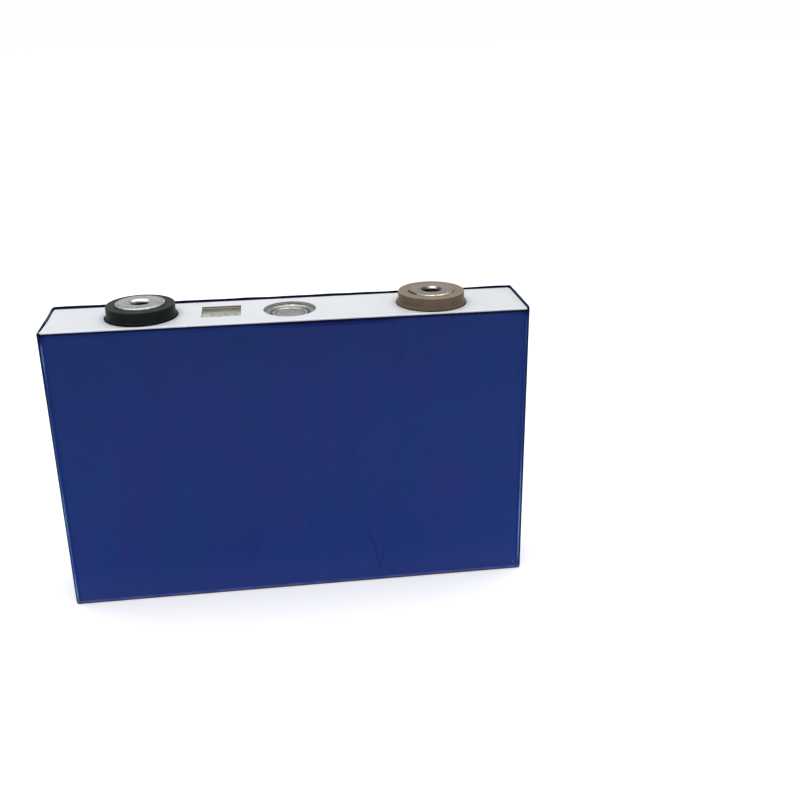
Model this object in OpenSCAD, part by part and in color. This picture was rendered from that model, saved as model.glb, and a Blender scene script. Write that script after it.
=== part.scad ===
// Prismatic battery cell: a sealed aluminium can with a film wrap, a lid with
// two tapped terminal posts, a pressure vent and a filling port, and two flat
// wound electrode rolls inside.
//
// Frame: +Z up, origin at the middle of the base, +X along the width towards
// the positive terminal, the broad faces at -Y and +Y. Millimetres.

/* [Cell body] */
// Width over the film wrap, along X
cell_w = 148; // [140:0.5:180]
// Thickness over the film wrap, along Y
cell_d = 26.5; // [26:0.5:34]
// Height from the base to the top of the white sheet
cell_h = 92.4; // [80:0.1:140]
// Radius of the upright edges and of the base's edges
edge_r = 1.2; // [1.2:0.1:3]

/* [Film and top sheet] */
// Thickness of the film wrap
film_t = 0.2; // [0.15:0.05:0.3]
// Width of the film's lip, folded on to the lid
lip_w = 1.7; // [1.2:0.1:1.8]
// Thickness of the white top sheet
sheet_t = 0.5; // [0.3:0.1:0.8]
// Distance from the wrap's outside to the edge of the white sheet
sheet_inset = 0.6; // [0.4:0.1:1.2]
// Corner radius of the white sheet
sheet_r = 1.2; // [0.5:0.1:3]

/* [Can and lid] */
// Thickness of the can's upright walls
wall_t = 0.8; // [0.6:0.1:1.0]
// Thickness of the can's floor
floor_t = 1.2; // [0.8:0.1:1.6]
// Thickness of the lid
lid_t = 2.0; // [1.6:0.1:3]

/* [Terminals] */
// Distance between the two terminal centres
pitch = 90; // [84:0.5:96]
// Diameter of each insulator ring
ring_dia = 21.2; // [20:0.1:22]
// Diameter of the ring's flared foot
foot_dia = 22.6; // [22.2:0.1:23]
// Height of the ring's top above the white sheet
ring_h = 3.9; // [3:0.1:4.5]
// Diameter of the negative terminal's disc
neg_disc_dia = 15; // [14:0.1:15.4]
// Diameter of the positive terminal's disc
pos_disc_dia = 14.4; // [14:0.1:15.4]
// Height of the negative disc's top above the white sheet
neg_disc_h = 4.4; // [4:0.1:5.5]
// Height of the positive disc's top above the white sheet
pos_disc_h = 4.1; // [4:0.1:5.5]
// Bore of the tapped hole, which is the thread's minor diameter
tap_dia = 5.0; // [4.2:0.1:5.2]
// Mouth diameter of the hole's countersink
sink_dia = 6.8; // [6.2:0.1:7.4]
// Depth of the tapped hole below the disc's top
tap_depth = 5.8; // [4:0.1:6]
// Diameter of the post's shank, where it passes through the lid
shank_dia = 8.6; // [8.4:0.1:9.2]

/* [Vent, window and filling port] */
// Centre of the pressure vent along X
vent_x = 0.3; // [-2:0.1:2]
// Diameter of the round window over the vent
vent_window_dia = 16.4; // [15:0.1:17]
// Diameter of the thin middle of the burst disc
burst_dia = 10.4; // [9:0.1:11]
// Centre of the rectangular window along X
window_x = -20.8; // [-22:0.1:-19]
// Width of the rectangular window
window_w = 12.0; // [8:0.1:12]
// Depth of the rectangular window, front to rear
window_d = 11.2; // [8:0.1:14]
// Centre of the rectangular window along Y
window_y = 0.6; // [-1:0.1:1]
// Centre of the filling port along X
fill_x = 18; // [15:0.5:19]

/* [Electrode stack] */
// Thickness of the insulating bag
bag_t = 0.15; // [0.1:0.05:0.2]
// Clearance between the bag and the can
bag_gap = 0.2; // [0.1:0.05:0.3]
// Space between the top of the rolls and the lid
head_space = 9.7; // [9:0.1:14]
// Thickness of the tab stacks
tab_t = 1.2; // [0.8:0.1:1.4]
// Thickness of the collectors
coll_t = 1.2; // [0.8:0.1:1.5]

/* [Hidden] */
$fn = 96;
eps = 1;

// heights of the layers, from the top sheet down
z_sheet = cell_h - sheet_t;          // underside of the white sheet
z_lid = z_sheet - film_t;            // top of the lid and of the can's rim
z_lid_low = z_lid - lid_t;           // underside of the lid
low_ins_t = 0.9;                     // lower insulators and vent guard
z_ins_low = z_lid_low - low_ins_t;
z_coll_low = z_ins_low - coll_t;
rivet_t = 0.7;                       // upset end of each post
z_rivet_low = z_coll_low - rivet_t;
z_floor = film_t + floor_t;          // inside floor of the can
tape_t = 0.15;
support_t = 0.5;
z_support = z_floor + bag_t;
z_roll = z_support + support_t;
z_roll_top = z_lid_low - head_space;

// plan sizes
can_w = cell_w - 2 * film_t;
can_d = cell_d - 2 * film_t;
can_r = edge_r - film_t;
in_w = can_w - 2 * wall_t;
in_d = can_d - 2 * wall_t;
in_r = can_r - wall_t;
bag_w = in_w - 2 * bag_gap;
bag_d = in_d - 2 * bag_gap;
roll_gap = 0.1;
end_tape_t = 0.05;
bag_in_d = bag_d - 2 * bag_t;
roll_w = bag_w - 2 * bag_t - 1.2;
roll_d = (bag_in_d - roll_gap) / 2 - end_tape_t;
roll_y = roll_gap / 2 + roll_d / 2;

// terminal details
ring_r = ring_dia / 2;
foot_r = foot_dia / 2;
ring_top = cell_h + ring_h;
foot_top = cell_h + 0.5;
floor_z = z_lid + 1.0;               // underside of each terminal disc
gasket_r = 6.4;                      // flange of the gasket
gasket_t = 0.5;
sleeve_r = shank_dia / 2 + 0.9;      // hole in the lid
cutout_r = foot_r + 0.2;             // terminal cut-outs in the sheet

// a prism with rounded upright edges
module round_prism(w, d, r, z0, z1) {
    translate([0, 0, z0]) linear_extrude(z1 - z0) union() {
        square([w - 2 * r, d], center = true);
        square([w, d - 2 * r], center = true);
        for (sx = [-1, 1], sy = [-1, 1])
            translate([sx * (w / 2 - r), sy * (d / 2 - r)]) circle(r);
    }
}

// the same prism with its base's edges rounded too
module tub(w, d, r, z0, z1) {
    round_prism(w, d, r, z0 + r, z1);
    translate([-w / 2 + r, -d / 2 + r, z0]) cube([w - 2 * r, d - 2 * r, r + 0.01]);
    for (sy = [-1, 1])
        translate([-w / 2 + r, sy * (d / 2 - r), z0 + r])
            rotate([0, 90, 0]) cylinder(r = r, h = w - 2 * r);
    for (sx = [-1, 1])
        translate([sx * (w / 2 - r), -d / 2 + r, z0 + r])
            rotate([-90, 0, 0]) cylinder(r = r, h = d - 2 * r);
    for (sx = [-1, 1], sy = [-1, 1])
        translate([sx * (w / 2 - r), sy * (d / 2 - r), z0 + r]) sphere(r);
}

// a disc between two heights
module disc(x, r, z0, z1) {
    translate([x, 0, z0]) cylinder(r = r, h = z1 - z0);
}

// cut-outs that the white sheet and its adhesive share
module sheet_cutouts() {
    for (s = [-1, 1]) disc(s * pitch / 2, cutout_r, z_lid - eps, cell_h + eps);
    disc(vent_x, vent_window_dia / 2, z_lid - eps, cell_h + eps);
    translate([window_x - window_w / 2, window_y - window_d / 2, z_lid - eps])
        cube([window_w, window_d, film_t + sheet_t + 2 * eps]);
}

module outer_film() {
    color([0.13, 0.19, 0.42]) difference() {
        tub(cell_w, cell_d, edge_r, 0, z_sheet);
        tub(can_w, can_d, can_r, film_t, z_lid);
        round_prism(cell_w - 2 * lip_w, cell_d - 2 * lip_w, 0.8, z_lid - eps, z_sheet + eps);
    }
}

module top_insulation_sheet() {
    color([0.93, 0.94, 0.96]) difference() {
        round_prism(cell_w - 2 * sheet_inset, cell_d - 2 * sheet_inset, sheet_r, z_sheet, cell_h);
        sheet_cutouts();
    }
}

// three patches, because the terminals' feet are wider than the layer
module sheet_adhesive() {
    color([0.85, 0.85, 0.8]) difference() {
        round_prism(cell_w - 2 * lip_w - 0.2, cell_d - 2 * lip_w - 0.2, 0.7, z_lid, z_sheet);
        sheet_cutouts();
    }
}

module can() {
    color([0.75, 0.76, 0.78]) difference() {
        tub(can_w, can_d, can_r, film_t, z_lid);
        round_prism(in_w, in_d, in_r, z_floor, z_lid + eps);
    }
}

// The lid closes the can's mouth, flush with its rim.
vent_seat_r = vent_window_dia / 2 + 0.1;
vent_hole_r = burst_dia / 2 + 1.4;
module cap_plate() {
    color([0.72, 0.73, 0.74]) difference() {
        round_prism(in_w, in_d, in_r, z_lid_low, z_lid);
        for (s = [-1, 1]) disc(s * pitch / 2, sleeve_r, z_lid_low - eps, z_lid + eps);
        disc(vent_x, vent_hole_r, z_lid_low - eps, z_lid + eps);
        disc(vent_x, vent_seat_r, z_lid - 0.5, z_lid + eps);
        disc(fill_x, 1.2, z_lid_low - eps, z_lid + eps);
        disc(fill_x, 3.0, z_lid - 0.6, z_lid + eps);
    }
}

// Dished disc: a flange welded in the lid's seat, a sloped wall, a score
// groove, a low bead and a thin flat middle.
module vent_burst_disc() {
    rb = burst_dia / 2;
    zt = z_lid - 0.1;
    zm = z_lid - 0.75;
    color([0.7, 0.7, 0.7]) translate([vent_x, 0, 0]) rotate_extrude()
        polygon([
            [0, zm - 0.3], [rb + 0.3, zm - 0.3], [vent_hole_r - 0.05, z_lid - 0.5],
            [vent_seat_r - 0.02, z_lid - 0.5], [vent_seat_r - 0.02, zt],
            [vent_seat_r - 0.6, zt], [rb + 0.25, zm], [rb + 0.05, zm - 0.12],
            [rb - 0.15, zm], [rb - 0.3, zm + 0.14], [rb - 0.55, zm + 0.14],
            [rb - 0.8, zm - 0.02], [0, zm - 0.02]
        ]);
}

// Slotted plate that keeps the rolls off the vent
module vent_guard() {
    color([0.9, 0.9, 0.86]) difference() {
        translate([-11.5, -9.5, z_ins_low]) cube([23, 19, low_ins_t]);
        for (x = [-8:4:8]) translate([x - 1, -7, z_ins_low - eps])
            cube([2, 14, low_ins_t + 2 * eps]);
    }
}

module fill_port_cap() {
    color([0.75, 0.75, 0.77]) translate([fill_x, 0, 0]) rotate_extrude()
        polygon([[0, z_lid - 0.35], [3.0, z_lid - 0.35], [3.0, z_lid - 0.05],
                 [2.7, z_lid], [0, z_lid]]);
}

module fill_port_seal() {
    color([0.15, 0.15, 0.15]) translate([fill_x, 0, 0]) rotate_extrude()
        polygon([[0, z_lid_low + 0.1], [1.0, z_lid_low + 0.1], [1.2, z_lid_low + 0.4],
                 [1.2, z_lid - 0.6], [2.2, z_lid - 0.6], [2.2, z_lid - 0.35],
                 [0, z_lid - 0.35]]);
}

// Turned post: a disc with a softened rim, a shank through the lid, an upset
// end under the collector, and a blind tapped hole with a countersink.
module terminal_post(x, dia, top) {
    r = dia / 2;
    rs = shank_dia / 2;
    f = 0.4;
    rt = tap_dia / 2;
    rk = sink_dia / 2;
    translate([x, 0, 0]) difference() {
        union() {
            translate([0, 0, floor_z]) cylinder(r = r, h = top - floor_z - f);
            translate([0, 0, top - f]) cylinder(r1 = r, r2 = r - f, h = f);
            translate([0, 0, z_rivet_low]) cylinder(r = rs, h = floor_z - z_rivet_low + 0.5);
            translate([0, 0, z_rivet_low]) cylinder(r = rs + 1.3, h = rivet_t);
        }
        translate([0, 0, top - tap_depth]) cylinder(r = rt, h = tap_depth + eps);
        translate([0, 0, top - (rk - rt)]) cylinder(r1 = rt, r2 = rk + eps, h = rk - rt + eps);
    }
}

module negative_terminal_post() {
    color([0.74, 0.74, 0.76]) terminal_post(-pitch / 2, neg_disc_dia, cell_h + neg_disc_h);
}

module positive_terminal_post() {
    color([0.56, 0.54, 0.5]) terminal_post(pitch / 2, pos_disc_dia, cell_h + pos_disc_h);
}

// Moulded ring: flared foot on the lid, pocket for the disc, a floor under
// the disc and a counterbore for the gasket's flange.
function arc(cx, cz, r, a0, a1, n) =
    [for (i = [0:n]) let (a = a0 + (a1 - a0) * i / n) [cx + r * cos(a), cz + r * sin(a)]];

module insulator_ring(x, disc_dia) {
    rp = disc_dia / 2 + 0.1;
    b = foot_r - ring_r;
    e = 0.35;
    translate([x, 0, 0]) rotate_extrude() polygon(concat(
        [[gasket_r, z_lid], [foot_r, z_lid], [foot_r, foot_top]],
        arc(foot_r, foot_top + b, b, 270, 180, 8),
        arc(ring_r - e, ring_top - e, e, 0, 90, 6),
        [[rp + 0.15, ring_top], [rp, ring_top - 0.15], [rp, floor_z],
         [shank_dia / 2, floor_z], [shank_dia / 2, z_lid + gasket_t],
         [gasket_r, z_lid + gasket_t]]
    ));
}

module negative_insulator_ring() {
    color([0.13, 0.14, 0.14]) insulator_ring(-pitch / 2, neg_disc_dia);
}

module positive_insulator_ring() {
    color([0.47, 0.4, 0.33]) insulator_ring(pitch / 2, pos_disc_dia);
}

// Seal: a sleeve in the lid's hole with a flange on top
module gasket(x) {
    translate([x, 0, 0]) rotate_extrude() polygon([
        [shank_dia / 2, z_lid_low], [sleeve_r, z_lid_low], [sleeve_r, z_lid],
        [gasket_r, z_lid], [gasket_r, z_lid + gasket_t], [shank_dia / 2, z_lid + gasket_t]
    ]);
}

module negative_gasket() { color([0.2, 0.2, 0.22]) gasket(-pitch / 2); }
module positive_gasket() { color([0.2, 0.2, 0.22]) gasket(pitch / 2); }

module lower_insulator(s) {
    difference() {
        translate([s * pitch / 2 - 20.5, -10.5, z_ins_low]) cube([41, 21, low_ins_t]);
        disc(s * pitch / 2, shank_dia / 2, z_ins_low - eps, z_lid_low + eps);
    }
}

module negative_lower_insulator() { color([0.86, 0.86, 0.82]) lower_insulator(-1); }
module positive_lower_insulator() { color([0.86, 0.86, 0.82]) lower_insulator(1); }

// Flat collector: it is riveted to the post and reaches inwards over the
// rolls, where the tab stacks are welded to its underside.
coll_in = 15;                        // inner end of each collector
coll_out = pitch / 2 + 8;            // outer end of each collector
module collector(s, fuse) {
    difference() {
        union() {
            translate([s > 0 ? coll_in : -coll_out, -8.5, z_coll_low])
                cube([coll_out - coll_in, 17, coll_t]);
        }
        disc(s * pitch / 2, shank_dia / 2, z_coll_low - eps, z_ins_low + eps);
        if (fuse) for (sy = [-1, 1])
            translate([s * (pitch / 2 - 8.5) - 0.8, sy > 0 ? 3 : -9, z_coll_low - eps])
                cube([1.6, 6, coll_t + 2 * eps]);
    }
}

module negative_collector() { color([0.78, 0.48, 0.32]) collector(-1, false); }
module positive_collector() { color([0.76, 0.77, 0.78]) collector(1, true); }

// L-shaped foil stacks, standing on the rolls and folded under the collector
tab_w = 19;
tab_x = coll_in + 0.5;
module tabs(s, side) {
    y_leg = 9.0;
    translate([s > 0 ? tab_x : -tab_x - tab_w, 0, 0])
        rotate([90, 0, 90]) linear_extrude(tab_w)
            polygon([for (p = [
                [y_leg - tab_t, z_roll_top], [y_leg, z_roll_top], [y_leg, z_coll_low - 0.6],
                [y_leg - 0.6, z_coll_low], [0.6, z_coll_low], [0.6, z_coll_low - tab_t],
                [y_leg - tab_t, z_coll_low - tab_t]
            ]) [side * p[0], p[1]]]);
}

module negative_tabs_front() { color([0.8, 0.5, 0.35]) tabs(-1, -1); }
module negative_tabs_rear() { color([0.8, 0.5, 0.35]) tabs(-1, 1); }
module positive_tabs_front() { color([0.8, 0.8, 0.82]) tabs(1, -1); }
module positive_tabs_rear() { color([0.8, 0.8, 0.82]) tabs(1, 1); }

module weld_tape(s) {
    translate([s > 0 ? tab_x : -tab_x - tab_w, -7.4, z_coll_low - tab_t - tape_t])
        cube([tab_w, 14.8, tape_t]);
}

module negative_weld_tape() { color([0.2, 0.45, 0.75]) weld_tape(-1); }
module positive_weld_tape() { color([0.2, 0.45, 0.75]) weld_tape(1); }

// Flat wound roll with its thin winding gap in the middle
module jelly_roll(side) {
    r = roll_d / 2;
    translate([0, side * roll_y, z_roll]) linear_extrude(z_roll_top - z_roll) difference() {
        union() {
            square([roll_w - 2 * r, roll_d], center = true);
            for (s = [-1, 1]) translate([s * (roll_w / 2 - r), 0]) circle(r);
        }
        square([roll_w - 4 * r, 0.3], center = true);
    }
}

module jelly_roll_front() { color([0.3, 0.3, 0.33]) jelly_roll(-1); }
module jelly_roll_rear() { color([0.3, 0.3, 0.33]) jelly_roll(1); }

module end_tape(side) {
    y0 = bag_in_d / 2 - end_tape_t;
    translate([40, side > 0 ? y0 : -y0 - end_tape_t, z_roll + 6])
        cube([16, end_tape_t, z_roll_top - z_roll - 12]);
}

module roll_end_tape_front() { color([0.2, 0.6, 0.35]) end_tape(-1); }
module roll_end_tape_rear() { color([0.2, 0.6, 0.35]) end_tape(1); }

module insulating_bag() {
    color([0.8, 0.85, 0.9]) difference() {
        round_prism(bag_w, bag_d, 0.5, z_floor, z_roll_top + 3);
        round_prism(bag_w - 2 * bag_t, bag_in_d, 0.35, z_floor + bag_t, z_roll_top + 3 + eps);
    }
}

module bottom_support_plate() {
    color([0.92, 0.92, 0.88]) difference() {
        round_prism(bag_w - 2 * bag_t - 0.4, bag_in_d - 0.4, 0.4, z_support, z_roll);
        for (x = [-60:20:60]) disc(x, 1.5, z_support - eps, z_roll + eps);
    }
}

outer_film();
top_insulation_sheet();
sheet_adhesive();
can();
cap_plate();
vent_burst_disc();
vent_guard();
fill_port_cap();
fill_port_seal();
negative_terminal_post();
negative_insulator_ring();
negative_gasket();
negative_lower_insulator();
negative_collector();
negative_tabs_front();
negative_tabs_rear();
negative_weld_tape();
positive_terminal_post();
positive_insulator_ring();
positive_gasket();
positive_lower_insulator();
positive_collector();
positive_tabs_front();
positive_tabs_rear();
positive_weld_tape();
jelly_roll_front();
jelly_roll_rear();
roll_end_tape_front();
roll_end_tape_rear();
insulating_bag();
bottom_support_plate();
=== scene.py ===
import math

import bmesh
import bpy
import numpy as np
from mathutils import Matrix, Quaternion, Vector, noise as mnoise


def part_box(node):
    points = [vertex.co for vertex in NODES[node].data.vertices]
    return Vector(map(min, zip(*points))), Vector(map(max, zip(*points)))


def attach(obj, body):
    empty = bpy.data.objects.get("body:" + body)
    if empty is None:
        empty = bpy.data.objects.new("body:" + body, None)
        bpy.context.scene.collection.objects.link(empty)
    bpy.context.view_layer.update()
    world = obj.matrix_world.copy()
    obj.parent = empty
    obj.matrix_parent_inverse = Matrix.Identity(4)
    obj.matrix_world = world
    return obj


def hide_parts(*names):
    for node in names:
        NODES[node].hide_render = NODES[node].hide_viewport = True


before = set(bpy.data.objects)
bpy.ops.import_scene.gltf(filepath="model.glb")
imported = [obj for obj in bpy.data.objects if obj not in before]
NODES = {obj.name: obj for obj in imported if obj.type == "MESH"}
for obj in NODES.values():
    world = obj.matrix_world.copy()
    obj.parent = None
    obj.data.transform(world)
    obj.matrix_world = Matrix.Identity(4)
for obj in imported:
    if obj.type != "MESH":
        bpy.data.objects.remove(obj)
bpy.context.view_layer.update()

MM = 0.001

# ---------------------------------------------------------------- CAD places
def span(node):
    """A node's lowest and highest corners, in millimetres."""
    lo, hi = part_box(node)
    return np.array(lo) / MM, np.array(hi) / MM

film_lo, film_hi = span("outer_film")
sheet_lo, sheet_hi = span("top_insulation_sheet")
lid_lo, lid_hi = span("cap_plate")
vent_lo, vent_hi = span("vent_burst_disc")
cell_w = film_hi[0] - film_lo[0]
cell_d = film_hi[1] - film_lo[1]
z_film = film_hi[2]                  # top of the film's lip
z_lid = lid_hi[2]                    # top of the lid
z_top = sheet_hi[2]                  # top of the white sheet
edge_r = 1.15                        # upright edges, as wrapped
base_r = 0.5                         # the fold at the base

# ---------------------------------------------------------------- mesh helpers
def make_object(name, verts, faces, materials, location=(0, 0, 0), sharp=None, smooth=True):
    """A mesh object from points in millimetres."""
    me = bpy.data.meshes.new(name)
    me.from_pydata([tuple(float(c) * MM for c in v) for v in verts], [], faces)
    me.validate()
    me.update()
    if smooth:
        me.shade_smooth()
        if sharp is not None:
            me.set_sharp_from_angle(angle=math.radians(sharp))
    ob = bpy.data.objects.new(name, me)
    bpy.context.scene.collection.objects.link(ob)
    ob.location = [c * MM for c in location]
    for m in materials:
        me.materials.append(m)
    return ob


def outward(ob):
    """Turns every face of a closed mesh outwards."""
    bm = bmesh.new()
    bm.from_mesh(ob.data)
    bmesh.ops.recalc_face_normals(bm, faces=bm.faces)
    bm.to_mesh(ob.data)
    bm.free()
    return ob


def piece(ob, slot, *nodes):
    """Rides on the cell and stands for its CAD nodes. Its slot is not used."""
    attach(ob, "root")
    if nodes:
        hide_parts(*nodes)
    return ob


def fillet(points):
    """A profile of (r, z, radius, steps): each corner with a radius becomes an arc."""
    out = []
    n = len(points)
    for i, p in enumerate(points):
        rad = p[2] if len(p) > 2 else 0
        if rad <= 0:
            out.append((p[0], p[1]))
            continue
        steps = p[3] if len(p) > 3 else 5
        a = Vector(points[(i - 1) % n][:2])
        b = Vector(p[:2])
        c = Vector(points[(i + 1) % n][:2])
        u = (a - b).normalized()
        v = (c - b).normalized()
        half = math.acos(max(-1, min(1, u.dot(v)))) / 2
        cut = min(rad / math.tan(half), (a - b).length * 0.49, (c - b).length * 0.49)
        rr = cut * math.tan(half)
        centre = b + (u + v).normalized() * (rr / math.sin(half))
        s = b + u * cut
        e = b + v * cut
        a0 = math.atan2(s.y - centre.y, s.x - centre.x)
        a1 = math.atan2(e.y - centre.y, e.x - centre.x)
        d = (a1 - a0 + math.pi) % (2 * math.pi) - math.pi
        for k in range(steps + 1):
            t = a0 + d * k / steps
            out.append((centre.x + rr * math.cos(t), centre.y + rr * math.sin(t)))
    return out


def lathe_grid(rows, segs, closed, wobble=None):
    """Vertices and faces of rows of (r, z) turned about Z. A row with r = 0 is one point."""
    verts, index = [], []
    for k, (r, z) in enumerate(rows):
        if r <= 1e-9:
            index.append([len(verts)] * segs)
            verts.append((0, 0, z))
            continue
        row = []
        for j in range(segs):
            t = 2 * math.pi * j / segs
            rr, zz = (r, z) if wobble is None else wobble(r, z, t)
            row.append(len(verts))
            verts.append((rr * math.cos(t), rr * math.sin(t), zz))
        index.append(row)
    faces = []
    n = len(rows)
    for k in range(n if closed else n - 1):
        a, b = index[k], index[(k + 1) % n]
        for j in range(segs):
            j2 = (j + 1) % segs
            f = [a[j], a[j2], b[j2], b[j]]
            g = []
            for v in f:
                if v not in g:
                    g.append(v)
            if len(g) >= 3:
                faces.append(g)
    return verts, faces


def smoothstep(a, b, x):
    t = max(0.0, min(1.0, (x - a) / (b - a)))
    return t * t * (3 - 2 * t)


# ---------------------------------------------------------------- shader helpers
class Shade:
    """A short way to write a node material round one Principled shader."""

    def __init__(self, name, **sockets):
        self.m = bpy.data.materials.new(name)
        self.m.use_nodes = True
        self.t = self.m.node_tree
        self.t.nodes.clear()
        self.out = self.t.nodes.new("ShaderNodeOutputMaterial")
        self.b = self.t.nodes.new("ShaderNodeBsdfPrincipled")
        self.t.links.new(self.b.outputs[0], self.out.inputs[0])
        self.tc = self.t.nodes.new("ShaderNodeTexCoord")
        self.p = self.vmath("SCALE", self.tc.outputs["Object"], scale=1000)
        self.n = self.tc.outputs["Normal"]
        for k, v in sockets.items():
            self.set(k.replace("_", " "), v)

    def set(self, name, value):
        s = self.b.inputs[name]
        if isinstance(value, bpy.types.NodeSocket):
            self.t.links.new(value, s)
        elif isinstance(value, (tuple, list)) and len(value) == 3 and s.type == "RGBA":
            s.default_value = (*value, 1)
        else:
            s.default_value = value

    def _in(self, sock, v):
        if isinstance(v, bpy.types.NodeSocket):
            self.t.links.new(v, sock)
        elif isinstance(v, (tuple, list)):
            sock.default_value = (*v, 1) if (sock.type == "RGBA" and len(v) == 3) else v
        elif v is not None:
            sock.default_value = v

    def vmath(self, op, a, b=None, scale=None):
        n = self.t.nodes.new("ShaderNodeVectorMath")
        n.operation = op
        self._in(n.inputs[0], a)
        if b is not None:
            self._in(n.inputs[1], b)
        if scale is not None:
            n.inputs["Scale"].default_value = scale
        return n.outputs["Value"] if op in ("LENGTH", "DOT_PRODUCT", "DISTANCE") else n.outputs["Vector"]

    def math(self, op, a, b=None, c=None, clamp=False):
        n = self.t.nodes.new("ShaderNodeMath")
        n.operation = op
        n.use_clamp = clamp
        for i, v in enumerate((a, b, c)):
            if v is not None:
                self._in(n.inputs[i], v)
        return n.outputs[0]

    def split(self, v):
        n = self.t.nodes.new("ShaderNodeSeparateXYZ")
        self._in(n.inputs[0], v)
        return n.outputs

    def join(self, x, y, z):
        n = self.t.nodes.new("ShaderNodeCombineXYZ")
        for i, v in enumerate((x, y, z)):
            self._in(n.inputs[i], v)
        return n.outputs[0]

    def noise(self, vec, scale, detail=2.0, rough=0.5, distort=0.0, stretch=None):
        if stretch is not None:
            vec = self.vmath("MULTIPLY", vec, tuple(stretch))
        n = self.t.nodes.new("ShaderNodeTexNoise")
        self._in(n.inputs["Vector"], vec)
        n.inputs["Scale"].default_value = scale
        n.inputs["Detail"].default_value = detail
        n.inputs["Roughness"].default_value = rough
        n.inputs["Distortion"].default_value = distort
        return n.outputs[0]

    def voronoi(self, vec, scale, feature="F1", stretch=None):
        if stretch is not None:
            vec = self.vmath("MULTIPLY", vec, tuple(stretch))
        n = self.t.nodes.new("ShaderNodeTexVoronoi")
        n.feature = feature
        self._in(n.inputs["Vector"], vec)
        n.inputs["Scale"].default_value = scale
        return n.outputs["Distance"]

    def white(self, vec):
        n = self.t.nodes.new("ShaderNodeTexWhiteNoise")
        n.noise_dimensions = "3D"
        self._in(n.inputs["Vector"], vec)
        return n.outputs["Value"]

    def ramp(self, fac, stops, interp="LINEAR"):
        n = self.t.nodes.new("ShaderNodeValToRGB")
        n.color_ramp.interpolation = interp
        self._in(n.inputs[0], fac)
        els = n.color_ramp.elements
        while len(els) < len(stops):
            els.new(0.5)
        for e, (pos, col) in zip(els, stops):
            e.position = pos
            e.color = (*col, 1) if isinstance(col, (tuple, list)) else (col, col, col, 1)
        return n.outputs[0]

    def remap(self, v, a, b, c=0.0, d=1.0, smooth=False):
        n = self.t.nodes.new("ShaderNodeMapRange")
        n.interpolation_type = "SMOOTHSTEP" if smooth else "LINEAR"
        n.clamp = True
        self._in(n.inputs[0], v)
        for i, x in enumerate((a, b, c, d)):
            n.inputs[i + 1].default_value = x
        return n.outputs[0]

    def mix(self, fac, a, b, mode="MIX"):
        n = self.t.nodes.new("ShaderNodeMix")
        n.data_type = "RGBA"
        n.blend_type = mode
        n.clamp_factor = True
        self._in(n.inputs[0], fac)
        self._in(n.inputs[6], a)
        self._in(n.inputs[7], b)
        return n.outputs[2]

    def bump(self, height, strength=1.0, distance=0.00005, normal=None):
        n = self.t.nodes.new("ShaderNodeBump")
        n.inputs["Strength"].default_value = strength
        n.inputs["Distance"].default_value = distance
        self._in(n.inputs["Height"], height)
        if normal is not None:
            self._in(n.inputs["Normal"], normal)
        return n.outputs[0]

    def bumps(self, *layers):
        """Layers of (height, distance in metres), one on another."""
        last = None
        for h, d in layers:
            last = self.bump(h, 1.0, d, last)
        self.set("Normal", last)


def seg_mask(s, x, z, ax, az, bx, bz, width):
    """1 on the segment from a to b, falling to 0 at width beside it."""
    vx, vz = bx - ax, bz - az
    ln = vx * vx + vz * vz
    dx = s.math("SUBTRACT", x, ax)
    dz = s.math("SUBTRACT", z, az)
    t = s.math("ADD", s.math("MULTIPLY", dx, vx / ln), s.math("MULTIPLY", dz, vz / ln), clamp=True)
    ex = s.math("SUBTRACT", dx, s.math("MULTIPLY", t, vx))
    ez = s.math("SUBTRACT", dz, s.math("MULTIPLY", t, vz))
    d = s.math("SQRT", s.math("ADD", s.math("MULTIPLY", ex, ex), s.math("MULTIPLY", ez, ez)))
    return s.remap(d, width * 0.25, width, 1.0, 0.0, smooth=True)


PINCH = ((20.4, 21.9, 23.1, 14.9, 0.8), (23.1, 14.9, 24.7, 9.4, 1.0), (24.7, 9.4, 25.3, 4.9, 1.0),
         (25.5, 4.9, 26.7, 10.4, 0.8), (26.7, 10.4, 26.9, 21.4, 0.35))


def lines(s, vec, period, axis=0, soft=0.5):
    """Fine machining marks: noise that changes fast along one axis only."""
    st = [0.02, 0.02, 0.02]
    st[axis] = 1.0 / period
    return s.noise(vec, 1.0, 2.0, soft, stretch=st)


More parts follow.
